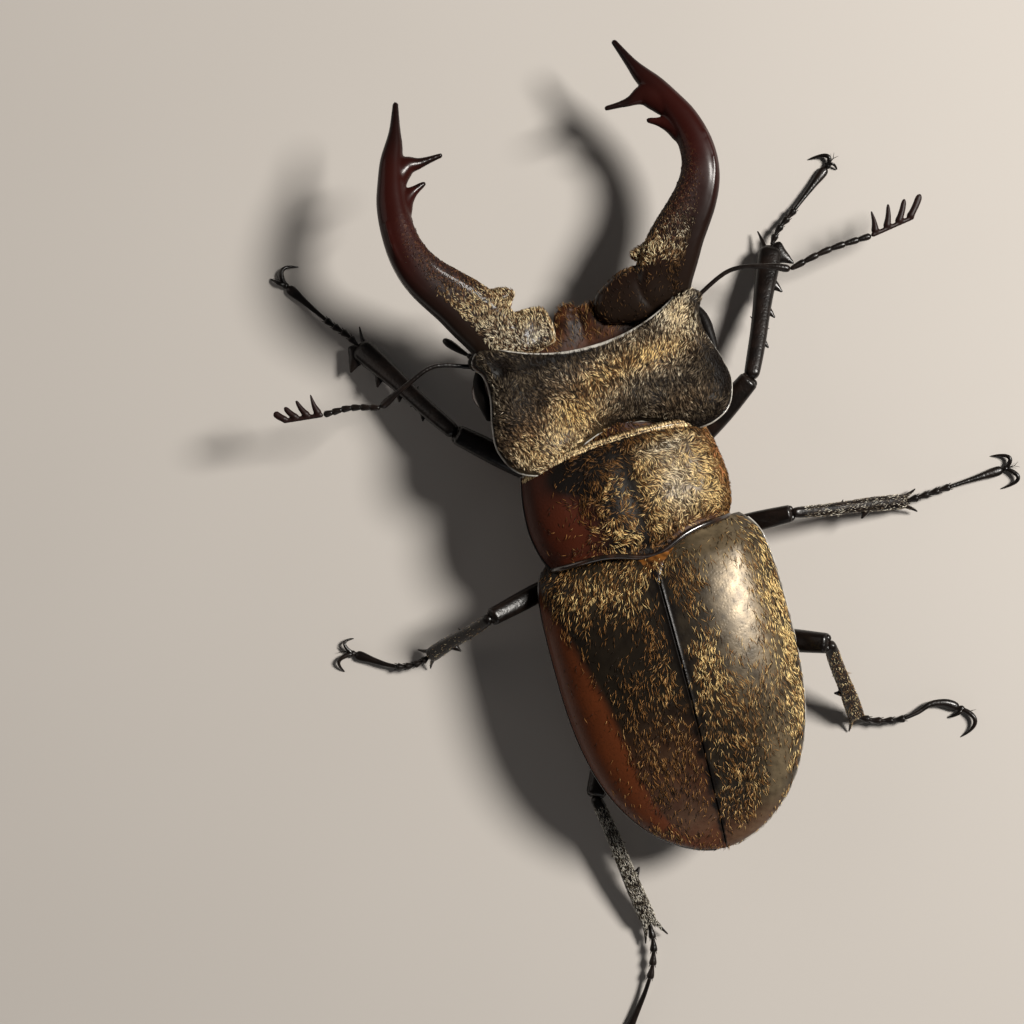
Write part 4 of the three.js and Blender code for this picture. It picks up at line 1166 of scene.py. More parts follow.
def jaw(side, name):
    """One jaw: its bowed stem, root lobe, teeth, ridge and knobs, melted into one skin."""
    bow = 0 if side > 0 else 0.65  # the right jaw bows out a little more

    def at(x, y, z):
        return Vector((side * (x + bow * bump(y, -20.5, 5)), y, z))

    stem_path = Path([at(*point) for point in JAW_STEM])
    squareness = smooth_through((0, 1.6), (0.35, 1.8), (0.5, 0.9), (0.62, 0.2), (1, 0))
    stem = limb("stem", stem_path, jaw_half_width, jaw_half_height, sides=48, steps=90, part=HEAD,
                flat=squareness)
    if side > 0:  # the left root's thin squarish lobe, and the right one's swollen dark one
        parts = [
            limb("lobe", [(7.0, -9.8, 0.0), (4.9, -10.0, 0.0), (2.45, -10.1, -0.25)],
                 smooth_through((0, 1.8), (0.6, 1.8), (1, 1.5)),
                 smooth_through((0, 1.4), (0.5, 0.95), (1, 0.5)),
                 sides=36, steps=40, part=HEAD, domes=(1, 0.4), flat=lambda t: 2.5),
            tooth([at(9.2, -12.7, 0.5), at(7.0, -13.25, 0.6), at(4.85, -13.4, 0.5)],
                  (0, 1.8), (0.5, 1.05), (0.8, 0.75), (1, 0.42)),
            tooth([at(7.0, -12.4, 0.5), at(5.3, -12.65, 0.4)], (0, 0.9), (1, 0.25)),
            tooth([at(12.6, -21.4, 1.8), at(11.8, -22.7, 1.7), at(10.8, -23.5, 1.6), at(9.25, -24.1, 1.55)],
                  (0, 1.1), (0.35, 0.98), (0.6, 0.62), (0.78, 0.38), (1, 0.2)),
            tooth([at(12.4, -23.9, 1.6), at(11.5, -25.2, 1.4), at(10.35, -25.85, 1.3), at(9.2, -25.8, 1.25),
                   at(7.15, -25.95, 1.2)],
                  (0, 1.1), (0.25, 1.1), (0.46, 0.88), (0.56, 0.66), (0.65, 0.48), (0.8, 0.31), (1, 0.2)),
        ]
    else:
        parts = [
            limb("lobe", [(-7.4, -10.1, -0.3), (-4.7, -10.35, -0.1), (-1.35, -9.9, -0.4)],
                 smooth_through((0, 2.7), (0.45, 2.3), (0.8, 1.6), (1, 1.05)),
                 smooth_through((0, 1.5), (0.5, 1.3), (1, 0.8)),
                 sides=36, steps=40, part=HEAD, flat=lambda t: 0.6),
            tooth([at(9.4, -12.9, 0.5), at(7.3, -13.45, 0.6), at(5.35, -13.5, 0.5)],
                  (0, 1.9), (0.5, 1.0), (0.8, 0.6), (1, 0.3)),
            tooth([at(12.5, -21.4, 1.8), at(11.85, -22.5, 1.7), at(11.0, -23.25, 1.6), at(9.6, -23.97, 1.55)],
                  (0, 1.15), (0.33, 1.0), (0.6, 0.6), (0.8, 0.34), (1, 0.21)),
            tooth([at(12.3, -24.0, 1.6), at(11.4, -25.4, 1.4), at(10.3, -26.05, 1.3), at(8.8, -25.86, 1.25),
                   at(6.75, -25.87, 1.2)],
                  (0, 1.15), (0.25, 1.2), (0.42, 1.05), (0.52, 0.78), (0.64, 0.46), (0.8, 0.29), (1, 0.21)),
        ]
    ridge = [stem_path.at(t) + sideways(stem_path.heading(t)) * (-side * 0.6 * jaw_half_width(t))
             + UP * (0.78 * jaw_half_height(t))
             for t in (0.1, 0.2, 0.3, 0.4, 0.5, 0.6)]
    parts.append(limb("ridge", ridge, lambda t: 0.34 - 0.1 * t, sides=12, steps=50, part=HEAD))
    knobs = []
    for i in range(JAW_KNOBS):
        t = blend(0.36, 0.68, i / (JAW_KNOBS - 1))
        inward = sideways(stem_path.heading(t)) * side
        size = 0.17 + 0.05 * math.sin(i * 2.4)
        spot = stem_path.at(t) + inward * (jaw_half_width(t) - 0.08)
        knobs.append(ball("knob", spot, (size,) * 3, HEAD, 8, 6))
    piece = joined(f"jaw_{name}", stem, *parts, *knobs)
    melted(piece, 0.12, 7)
    points = points_of(piece, HEAD)
    x, y = points[:, 0] * side, points[:, 1]
    reach = np.clip((-9.5 - y) / 21.5, 0, 1)
    tips = soft_spots(x, y, [(7.4, -26.0, 1.7, 0.8, 0.5), (9.6, -24.2, 0.9, 0.6, 0.4)])
    inner = step(-x, -jaw_line(y) - 0.6, -jaw_line(y) + 0.7)
    lobe = (side < 0) * step(y, -13.4, -12.0) * step(-x, -9.2, -7.4)
    lobe_edge = (np.abs((x - 4.9) / 2.4) ** 4 + np.abs((y + 10.0) / 1.85) ** 4) ** 0.25
    pale_edge = step(lobe_edge, 0.86, 0.98) * step(-x, -5.2, -4.2) * step(y, -12.4, -11.9)
    mark(
        piece,
        reach=reach + tips,
        grain=inner * step(-reach, -0.62, -0.48) * (1 - lobe),
        amber=0.8 * (side > 0) * pale_edge,
    )
    return shown(piece, [f"mandible_{name}"], "jaw", JAW)


def jaw_line(y):
    """The jaw's middle line seen from above: its distance from the midline at each y."""
    xs, ys, _ = zip(*JAW_STEM)
    return np.interp(-y, [-value for value in ys], xs)


def jaw_coat(points):
    """The coat covers the root and thins out over the inner side towards the middle. The
    right jaw's dark lobe has next to none."""
    x, y = points[:, 0], points[:, 1]
    side = np.abs(x)
    inner = step(jaw_line(y) + 1.15 - side, -0.2, 0.35)
    root = step(y, -16.2, -13.2)
    fade = step(y, -21.5, -15.0) * 0.6 * step(jaw_line(y) + 0.2 - side, -0.6, 0.6)
    lobe = step(-x, -0.5, 0.5) * step(y, -12.9, -11.7) * step(-side, -8.8, -7.2)
    clumps = 0.12 * ripple(points, 1.0, 33)
    return np.clip(np.maximum(root, fade) * inner + clumps * root * inner, 0, 1) * (1 - 0.93 * lobe)


def jaw_bright(points):
    """Bright over the left jaw's root and in two patches on the right one's."""
    x, y = points[:, 0], points[:, 1]
    left = step(x, -0.5, 0.5)
    streaks = 0.85 + 0.3 * ripple(points * (1, 0.5, 1), 0.4, 27)
    root = left * step(y, -16.5, -12.0) + (1 - left) * soft_spots(x, y, [
        (-7.0, -13.4, 2.2, 1.3, 0.85), (-10.4, -14.0, 2.0, 2.2, 0.35)])
    return np.clip((0.22 + 1.0 * root) * streaks, 0, 1.3)


def jaw_grey(points):
    """Silver patches among the gold at the jaws' roots."""
    x, y = points[:, 0], points[:, 1]
    return np.clip(0.15 + soft_spots(x, y, [(4.5, -9.3, 2.6, 1.0, 0.6), (8.0, -10.5, 2.0, 1.5, 0.4),
                                            (-10.5, -14.5, 2.0, 2.5, 0.6)]), 0, 1)


def lip():
    """The plate between the jaws, with its lobed front edge and a knob on its left lobe."""
    half_width = smooth_through(
        (0, 7.4), (0.3, 6.8), (0.45, 5.2), (0.6, 3.2), (0.75, 2.4), (0.92, 2.0), (1, 1.4)
    )
    tip = smooth_through((0, -6.5), (0.6, -9.0), (1, -10.55))

    def lobes(across, along, sine):
        arch = 0.28 * bump(abs(across), 0.6, 0.35) * bump(along, 0.9, 0.2)
        return (arch - 0.25 * bump(across, 0, 0.2) * bump(along, 0.6, 0.5)) * max(sine, 0)

    plate = drum(
        "lip_plate", 64, 44,
        slices(
            edge=lambda t: (half_width(t), tip(t) - 0.6 * step(t, 0.75, 1.0), -1.1),
            middle=tip,
            crown=smooth_through((0, -0.55), (0.7, -0.6), (1, -0.85)),
            keel=lambda t: -1.6,
            fullness=3,
            under_fullness=3,
            relief=lobes,
        ),
        HEAD, cap=3,
    )
    knob = ball("knob", (0.75, -10.85, -0.95), (0.8, 0.6, 0.45), HEAD)
    other = ball("knob", (-0.6, -10.55, -1.0), (0.6, 0.45, 0.35), HEAD)
    piece = joined("lip", plate, knob, other)
    melted(piece, 0.12, 4)
    return shown(piece, ["clypeus"], "jaw", LIP)


def horn_shown(piece, node, patch=0):
    """Shows a piece of black horn. patch says where it is tawny."""
    mark(piece, patch=patch)
    return shown(piece, [node], "black_shell", LEG)


def palp(side, name, tip):
    """A two-jointed mouth feeler, with its tip at a place in the head's frame."""
    root, tip = Vector((side * 8.3, -8.4, -2.1)), Vector(tip)
    knee = root.lerp(tip, 0.5) + Vector((side * 0.15, 0, 0))
    path = Path([root, knee, tip])
    first = limb("first", path.part(0, 0.47), smooth_through((0, 0.16), (0.8, 0.27), (1, 0.2)),
                 part=HEAD)
    last = limb("last", path.part(0.45, 1), smooth_through((0, 0.16), (0.7, 0.36), (1, 0.22)),
                part=HEAD)
    piece = joined(f"palp_{name}_jointed", first, last)
    horn_shown(piece, f"palp_{name}")


# ---------------------------------------------------------------- feelers
FEELERS = {
    "left": {
        "scape": [(9.9, -8.6, -0.2), (13.0, -9.5, 0.2), (15.6, -8.7, 0.1), (18.2, -7.6, -0.7)],
        "whip": [(18.35, -7.6, -0.75), (20.5, -8.35, -1.5), (22.8, -8.5, -2.0)],
        "club": (26.2, -9.0, -2.4),
    },
    "right": {
        "scape": [(-9.7, -8.6, -0.2), (-13.2, -10.0, 0.6), (-16.2, -9.4, 1.2), (-18.1, -8.6, 1.2)],
        "whip": [(-18.25, -8.6, 1.25), (-21.6, -9.2, 1.4), (-25.6, -9.3, 1.4)],
        "club": (-29.75, -9.8, 1.2),
    },
}
WHIP_BEADS = 6
CLUB_BLADES = {"left": (1.9, 1.75, 1.5, 1.3), "right": (1.95, 2.1, 2.2, 2.35)}  # their lengths


def feeler(name, scape, whip, club):
    """A feeler: its long stalk, a whip of beads and a club of blades."""
    stalk = limb(
        f"feeler_stalk_{name}", Path(scape),
        smooth_through((0, 0.22), (0.1, 0.19), (0.75, 0.22), (0.94, 0.34), (1, 0.26)),
        sides=16, steps=70, part=HEAD,
    )
    horn_shown(stalk, f"antenna_scape_{name}")

    line = Path([scape[-1], *whip[1:]])
    beads = []
    for i in range(WHIP_BEADS):
        stretch = line.part(i / WHIP_BEADS - 0.01, (i + 1) / WHIP_BEADS + 0.03, 3)
        radius = smooth_through((0, 0.16), (0.2, 0.22), (0.75, 0.29), (1, 0.2))
        beads.append(limb("bead", stretch, radius, sides=14, steps=16, part=HEAD))
    horn_shown(joined(f"feeler_whip_{name}", *beads), f"antenna_whip_{name}")

    start, end = Vector(whip[-1]), Vector(club)
    hand = 1 if end.x > 0 else -1
    pieces = [limb("stem", [start, end], lambda t: 0.2, sides=14, steps=20, part=HEAD)]
    lengths = CLUB_BLADES[name]
    for i, length in enumerate(lengths):
        share = i / (len(lengths) - 1)
        root = start.lerp(end, 0.1 + 0.78 * share)
        tip = root + Vector((hand * (0.1 + 0.75 * share), -0.95, 0.05)).normalized() * length
        broad = blend(0.9, 1.5, share)
        width = smooth_through((0, 0.42), (0.25, 0.3), (0.6, 0.2 * broad), (0.85, 0.13 * broad**2),
                               (1, 0.06 * broad**2))
        bend = root.lerp(tip, 0.5) + Vector((hand * 0.08, 0, 0))
        pieces.append(limb("blade", [root, bend, tip], width, lambda t: 0.36 - 0.2 * t, 16, 20, HEAD))
    blades = joined(f"feeler_club_{name}", *pieces)
    melted(blades, 0.07, 4)
    shown(blades, [f"antenna_club_{name}"], "feeler_club", CLUB)


# ---------------------------------------------------------------- legs
LEGS = {
    "front_left": {
        "inner": (1.6, -6.2, 3.3), "hip": (4.7, -7.0, 3.2), "knee": (13.0, -14.4, 5.4),
        "ankle": (19.3, -24.1, 1.3),
        "foot": [(19.9, -25.2, 1.15), (21.3, -26.9, 0.8), (23.95, -30.75, 0.3)],
        "claws": [[(23.95, -32.25), (22.55, -32.2)], [(24.65, -31.3), (25.2, -31.85)]],
    },
    "front_right": {
        "inner": (-1.6, -6.2, 3.3), "hip": (-4.7, -7.0, 3.2), "knee": (-12.45, -12.45, 5.4),
        "ankle": (-17.65, -23.2, 1.3),
        "foot": [(-18.6, -24.4, 1.15), (-20.4, -25.7, 0.8), (-24.2, -28.65, 0.3)],
        "claws": [[(-24.45, -29.6), (-22.9, -29.75)], [(-24.8, -28.75), (-25.1, -28.25)]],
    },
    "middle_left": {
        "inner": (1.5, 0.1, 3.2), "hip": (4.4, -0.7, 3.1), "knee": (14.1, 1.35, 8.8),
        "ankle": (20.2, 3.5, 1.3),
        "foot": [(21.4, 3.9, 1.1), (23.4, 3.65, 0.8), (26.55, 1.75, 0.3)],
        "claws": [[(27.15, 0.6), (26.3, 0.4)], [(28.0, 1.95), (27.8, 3.0)]],
    },
    "middle_right": {
        "inner": (-1.5, 0.1, 3.2), "hip": (-4.4, -0.7, 3.1), "knee": (-12.8, -0.5, 6.2),
        "ankle": (-23.2, 1.25, 1.3),
        "foot": [(-24.7, 1.2, 1.1), (-27.2, 1.05, 0.8), (-32.3, 0.8, 0.3)],
        "claws": [[(-33.0, -0.1), (-31.6, -0.6)], [(-33.3, 1.9), (-31.75, 2.4)]],
    },
    "hind_left": {
        "inner": (1.5, 6.2, 3.3), "hip": (4.2, 8.6, 3.0), "knee": (9.5, 18.6, 4.3),
        "ankle": (7.75, 30.9, 1.3),
        "foot": [(8.05, 33.3, 1.1), (9.3, 36.1, 0.8), (12.6, 40.4, 0.3)],
        "claws": [[(12.9, 41.6), (12.0, 42.1)], [(13.8, 40.9), (14.7, 41.5)]],
    },
    "hind_right": {
        "inner": (-1.5, 6.2, 3.3), "hip": (-4.4, 8.0, 3.1), "knee": (-12.6, 10.7, 8.7),
        "ankle": (-14.2, 18.2, 1.3),
        "foot": [(-16.1, 19.1, 1.1), (-18.6, 19.5, 0.8), (-21.3, 18.9, 0.55), (-23.2, 19.95, 0.3)],
        "claws": [[(-24.2, 21.4), (-22.75, 22.45)], [(-22.9, 20.35), (-22.1, 20.5)]],
    },
}
# Half widths of each pair, how far its spurs run on, and its shin's thorns: (place along, reach
# from its middle line).
LEG_SIZES = {
    "front": {"coxa": 1.35, "femur": 1.0, "shin": (0.7, 1.02), "spur": 0.15,
              "thorns": [(0.27, 1.1), (0.5, 1.25), (0.7, 1.55), (0.93, 2.15)]},
    "middle": {"coxa": 1.2, "femur": 0.85, "shin": (0.5, 0.64), "spur": 0.2, "thorns": [(0.62, 1.1)]},
    "hind": {"coxa": 1.25, "femur": 0.98, "shin": (0.54, 0.7), "spur": 0.6, "thorns": [(0.62, 1.1)]},
}
FOOT_BEADS = 4
FOOT_BEADS_END = 0.44  # share of the foot that the beads take


def leg(name, inner, hip, knee, ankle, foot, claws):
    """One leg from hip to claws. Its shin is returned, to be given its coat."""
    sizes = LEG_SIZES[name.split("_")[0]]
    inner, hip, knee, ankle = Vector(inner), Vector(hip), Vector(knee), Vector(ankle)
    leg_hip(name, sizes["coxa"], inner, hip)
    leg_thigh(name, sizes["femur"], hip, knee)
    shin = leg_shin(name, sizes, hip, knee, ankle)
    leg_foot(name, Path([ankle.lerp(Vector(foot[0]), 0.02), *foot]))
    leg_claws(name, Vector(foot[-1]), Vector(foot[-2]), claws)
    return shin


def leg_hip(name, radius, inner, hip):
    outer = inner.lerp(hip, 0.96)
    piece = limb(
        f"{name}_hip", [inner, inner.lerp(outer, 0.5), outer],
        smooth_through((0, radius * 0.8), (0.35, radius), (0.8, radius * 0.9), (1, radius * 0.55)),
        smooth_through((0, radius * 0.75), (0.35, radius * 0.95), (0.8, radius * 0.8), (1, radius * 0.5)),
        sides=28, steps=26,
    )
    horn_shown(piece, f"{name}_coxa")


def leg_thigh(name, radius, hip, knee):
    """The thigh, with two cheeks at the knee and a tawny patch below."""
    path = Path([hip, (hip + knee) / 2 + Vector((0, 0, 0.15)), knee])
    thigh = limb(
        "thigh", path,
        smooth_through((0, radius * 0.6), (0.15, radius * 0.78), (0.6, radius), (1, radius * 0.86)),
        smooth_through((0, radius * 0.6), (0.15, radius * 0.7), (0.6, radius * 0.9), (1, radius * 0.8)),
        sides=28, steps=46, domes=(1, 0.45), flat=lambda t: 0.8,
    )
    heading = path.heading(0.97)
    cheek = sideways(heading)
    cheeks = [
        limb("cheek", [knee - heading * 0.9 + cheek * hand * radius * 0.4,
                       knee + heading * 0.1 + cheek * hand * radius * 0.44],
             smooth_through((0, radius * 0.42), (1, radius * 0.34)), sides=16, steps=16,
             flat=lambda t: 0.8)
        for hand in (1, -1)
    ]
    thigh = joined(f"{name}_thigh", thigh, *cheeks)
    points = points_of(thigh)
    stops = 40
    line = np.array([path.at(i / stops) for i in range(stops + 1)])
    closest = np.argmin(((points[:, None] - line) ** 2).sum(axis=2), axis=1)
    along = closest / stops
    under = step(line[closest, 2] - points[:, 2], 0.1, 0.45) * step(along, 0.2, 0.34)
    horn_shown(thigh, f"{name}_femur", under * step(-along, -0.86, -0.72))


def leg_shin(name, sizes, hip, knee, ankle):
    """The shin with the thorns on its outer side, spurs and, behind the front pair, a crown
    of short spines at the ankle."""
    narrow, broad = sizes["shin"]
    front = name.startswith("front")
    axis = (ankle - knee).normalized()
    outward = sideways(axis) * (-1 if hip.x > 0 else 1)

    def off_axis(t, distance, drop=0.0):
        return knee.lerp(ankle, t) + outward * distance - Vector((0, 0, drop))

    shaft = limb(
        "shaft", [knee.lerp(ankle, -0.01), knee.lerp(ankle, 0.3) + outward * 0.06,
                  knee.lerp(ankle, 0.65) - outward * 0.03, ankle],
        smooth_through((0, narrow * 0.72), (0.06, narrow * 0.95), (0.5, narrow * 1.1), (0.93, broad),
                       (1, broad * 0.8)),
        smooth_through((0, narrow * 0.72), (0.06, narrow * 0.9), (0.5, narrow), (0.95, narrow * 1.1),
                       (1, narrow * 0.8)),
        sides=24, steps=60, flat=lambda t: 0.8,
    )
    thorns = [
        limb("thorn", [off_axis(t + 0.02, -0.2), off_axis(t + 0.005, reach * 0.5),
                       off_axis(t - 0.03, reach, 0.05)],
             smooth_through((0, 0.7 * reach), (0.3, 0.62 * reach), (0.5, 0.34 * reach),
                            (0.75, 0.17 * reach), (1, 0.07)),
             smooth_through((0, 0.45), (0.5, 0.3), (1, 0.07)), sides=16, steps=24)
        for t, reach in sizes["thorns"]
    ]
    small = [
        spine(off_axis(t, -hand * narrow * 0.6), off_axis(t + 0.025, -hand * (narrow + 0.2)), 0.1, 0.03)
        for t, hand in ((0.42, 1), (0.7, 1), (0.36, -1))
    ]
    spurs = [
        spine(off_axis(0.955, hand * broad * 0.4), off_axis(1.08, hand * (broad + 0.35), 0.12)
              + axis * sizes["spur"], 0.26, 0.06, bow=axis * 0.1)
        for hand in ((-1,) if front else (1, -1))
    ]
    crown = [
        spine(off_axis(0.985, blend(-0.6, 0.6, i / 4) * broad, -0.1),
              off_axis(1.035, blend(-0.75, 0.75, i / 4) * broad, 0.1), 0.11, 0.03)
        for i in range(0 if front else 5)
    ]
    shin = joined(f"{name}_shin", shaft, *thorns, *small, *spurs, *crown)
    return horn_shown(shin, f"{name}_tibia")


def leg_foot(name, path):
    """The foot: short beads with two spines under each, then one long segment."""
    beads = []
    for i in range(FOOT_BEADS):
        share = FOOT_BEADS_END / FOOT_BEADS
        stretch = path.part(i * share - 0.005, (i + 1) * share + 0.012, 3)
        radius = smooth_through((0, 0.16), (0.3, 0.19), (0.78, 0.33), (0.95, 0.3), (1, 0.18))
        beads.append(limb("bead", stretch, radius, sides=16, steps=18))
        end, onward = stretch.at(0.93), stretch.heading(0.93)
        aside = sideways(onward)
        for hand in (1, -1):
            root = end + aside * hand * 0.2 - Vector((0, 0, 0.12))
            tip = root + onward * 0.3 + aside * hand * 0.1
            beads.append(spine(root, tip, 0.06, 0.02, sides=6))
    last = limb(
        "last", path.part(FOOT_BEADS_END, 1, 5),
        smooth_through((0, 0.17), (0.25, 0.2), (0.6, 0.3), (0.88, 0.43), (1, 0.32)),
        smooth_through((0, 0.17), (0.25, 0.19), (0.6, 0.24), (0.88, 0.27), (1, 0.22)),
        sides=16, steps=40,
    )
    horn_shown(joined(f"{name}_foot", *beads, last), f"{name}_tarsus")


def leg_claws(name, joint, before, claws):
    """Two hooked claws on a pad, with a forked bristle between them."""
    onward = Vector((joint.x - before.x, joint.y - before.y, 0)).normalized()
    root = joint + onward * 0.2 + Vector((0, 0, 0.03))
    hooks = []
    for knuckle, tip in claws:
        stout = min(1, 0.4 + 0.3 * (Vector((*tip, root.z)) - root).length)
        hooks.append(limb("hook", arc(root, (*knuckle, 0.55), (*tip, 0.09)), smooth_through(
            (0, 0.2), (0.25, 0.22 * stout), (0.55, 0.17 * stout), (0.85, 0.09), (1, 0.035)
        ), sides=14, steps=40))
    pad = ball("pad", root, (0.3, 0.3, 0.24))
    bristle = spine(root - Vector((0, 0, 0.05)), root + onward * 0.85 + Vector((0, 0, 0.05)), 0.09, 0.03)
    fork = [
        spine(root + onward * 0.8, root + onward * 1.25 + onward.cross(Vector((0, 0, hand * 0.25))),
              0.035, 0.015, sides=6)
        for hand in (1, -1)
    ]
    horn_shown(joined(f"{name}_hooks", *hooks, pad, bristle, *fork), f"{name}_claws")


# ---------------------------------------------------------------- the coat
TUFT_PATCH = 0.003  # width of one hair's patch on the coat's map
HAIR_SINK = 0.03  # how deep a root sits in the skin
TONE_PEAK, TONE_BIAS = 1.3, 1.5  # the brightest hair, and how few of them are bright


def at_roots(value, own):
    """A value at each root: a function of the place, or one number for all."""
    return value(own) if callable(value) else np.full(len(own), float(value))


def grow(name, skin, part, finish, seed, per_mm2, cover, lie, length, width,
         rise, spread, clump=0.0, bright=0.8, grey=0, scale=1):
    """A coat of short hairs on a skin, all in one mesh of closed tufts. per_mm2 is the densest
    growth, cover its share at each root, lie the way the hairs point, bright and grey their
    tone and scale their relative length, all in the part's frame."""
    rng = np.random.default_rng(seed)
    mesh = skin.data
    mesh.calc_loop_triangles()
    points, normals = np.empty(3 * len(mesh.vertices)), np.empty(3 * len(mesh.vertices))
    mesh.vertices.foreach_get("co", points)
    mesh.vertices.foreach_get("normal", normals)
    points, normals = points.reshape(-1, 3) / MM, normals.reshape(-1, 3)
    corners = np.empty(3 * len(mesh.loop_triangles), int)
    loops = np.empty_like(corners)
    mesh.loop_triangles.foreach_get("vertices", corners)
    mesh.loop_triangles.foreach_get("loops", loops)
    corners, loops = corners.reshape(-1, 3), loops.reshape(-1, 3)
    # Faces come in no fixed order, so the triangles are put in the order of their vertices.
    turned = (corners.argmin(axis=1)[:, None] + np.arange(3)) % 3
    corners, loops = (np.take_along_axis(rows, turned, 1) for rows in (corners, loops))
    order = np.lexsort(corners.T[::-1])
    corners, loops = corners[order], loops[order]
    unwrap = np.empty(2 * len(mesh.loops))
    mesh.uv_layers.active.data.foreach_get("uv", unwrap)
    unwrap = unwrap.reshape(-1, 2)

    a, b, c = (points[corners[:, i]] for i in range(3))
    areas = np.linalg.norm(np.cross(b - a, c - a), axis=1) / 2
    ends = np.cumsum(areas)
    count = int(ends[-1] * per_mm2)
    picks = np.searchsorted(ends, rng.random(count) * ends[-1])
    shares = rng.random((count, 2))
    shares[shares.sum(axis=1) > 1] = 1 - shares[shares.sum(axis=1) > 1]
    weights = np.column_stack([1 - shares.sum(axis=1), shares])[:, :, None]
    roots = (points[corners[picks]] * weights).sum(axis=1)
    ups = (normals[corners[picks]] * weights).sum(axis=1)
    ups /= np.linalg.norm(ups, axis=1, keepdims=True)
    spots = (unwrap[loops[picks]] * weights).sum(axis=1)
    own = to_part(roots * MM, part)
    turn = np.array(part.to_3x3())
    kept = rng.random(count) < cover(own, ups @ turn)
    sway_draw, tone_draw = rng.normal(size=count)[kept], rng.random(count)[kept]
    size_draw, width_draw, lift_draw = (
        rng.uniform(1 - share, 1 + share, count)[kept] for share in (0.35, 0.25, 0.5)
    )
    roots, ups, spots, own = roots[kept], ups[kept], spots[kept], own[kept]
    count = len(roots)

    along = lie(own) @ turn.T
    along -= ups * (along * ups).sum(axis=1, keepdims=True)
    along /= np.linalg.norm(along, axis=1, keepdims=True) + 1e-9
    sway = np.radians(spread) * sway_draw + clump * ripple(own, 0.9, seed + 1)
    aside = np.cross(along, ups)
    along = along * np.cos(sway)[:, None] + aside * np.sin(sway)[:, None]
    aside = np.cross(along, ups)
    size = (length * size_draw * at_roots(scale, own))[:, None]
    thick = (width * width_draw)[:, None] / 2
    lift = (rise * lift_draw)[:, None] * size

    foot, knee = roots - ups * HAIR_SINK, roots + along * size * 0.48 + ups * lift * 0.75
    tip = roots + along * size + ups * lift
    rings = [
        foot - aside * thick, foot + aside * thick, foot + ups * thick * 1.6,
        knee - aside * thick * 0.85, knee + aside * thick * 0.85, knee + ups * thick * 1.3, tip,
    ]
    vertices = np.stack(rings, axis=1).reshape(-1, 3) * MM
    one = np.array([
        (0, 1, 2), (0, 3, 4), (0, 4, 1), (1, 4, 5), (1, 5, 2), (2, 5, 3), (2, 3, 0),
        (3, 6, 4), (4, 6, 5), (5, 6, 3),
    ])
    faces = (one + len(rings) * np.arange(count)[:, None, None]).reshape(-1, 3)
    coat = bpy.data.meshes.new(name)
    coat.from_pydata(vertices, [], faces)
    piece = bpy.data.objects.new(name, coat)
    bpy.context.scene.collection.objects.link(piece)

    patch = np.array([(-1, -1), (1, -1), (0, -1), (-1, 0), (1, 0), (0, 0), (0, 1)]) * TUFT_PATCH / 2
    places = (spots[:, None] + patch).reshape(-1, 2)[faces.reshape(-1)]
    coat.uv_layers.new(name="OFBake").data.foreach_set("uv", places.reshape(-1))
    tone = TONE_PEAK * tone_draw**TONE_BIAS * at_roots(bright, own)
    mark(piece, tint=np.repeat(tone, len(rings)), grey=np.repeat(at_roots(grey, own), len(rings)))
    coat.materials.append(finish.material)
    coat.polygons.foreach_set("use_smooth", np.ones(len(faces), bool))
    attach(piece, "root")


def swirl(points, size, seed):
    """A slow turn of the coat's lie from place to place."""
    return ripple(points, size, seed), ripple(points, size, seed + 50)


def directions(x, y, z=0):
    """One direction for each point, from its three parts."""
    return np.column_stack(np.broadcast_arrays(x, y, z)).astype(float)


def wing_lie(points):
    side, back = swirl(points, 4.0, 61)
    drift = 0.12 + 0.16 * step(points[:, 0], -0.5, 0.5) + 0.02 * points[:, 0]
    return directions(drift + 0.22 * side, 1 + 0.15 * back)


def pronotum_lie(points):
    side, back = swirl(points, 3.2, 71)
    return directions(points[:, 0] * 0.05 + 0.75 * side, 0.75 + 0.7 * back)


def head_lie(points):
    side, back = swirl(points, 3.6, 81)
    return directions(points[:, 0] * 0.06 + 0.45 * side, -1 + 0.3 * back)


def jaw_lie(points):
    side, back = swirl(points, 2.6, 91)
    outward = np.sign(points[:, 0]) * 0.3
    return directions(outward + 0.4 * side, -1 + 0.3 * back)


def top_only(ups):
    """1 where the skin faces up, fading out towards its upright sides."""
    return step(ups[:, 2], 0.05, 0.3)


# ---------------------------------------------------------------- the whole beetle
thorax = hind_thorax()
abdomen = abdomen_rings()

wings = {name: wing_case(side, name) for name, side in SIDES.items()}
shield_plate = shield()
pronotum_shell = pronotum()
head_shell = head()
neck_ring = neck()
jaws = {name: jaw(side, name) for name, side in SIDES.items()}
lip_plate = lip()
palp(1, "left", (11.3, -11.7, -2.6))
palp(-1, "right", (-9.6, -12.0, -2.8))
for name, parts in FEELERS.items():
    feeler(name, **parts)
shins = {name: leg(name, **parts) for name, parts in LEGS.items()}

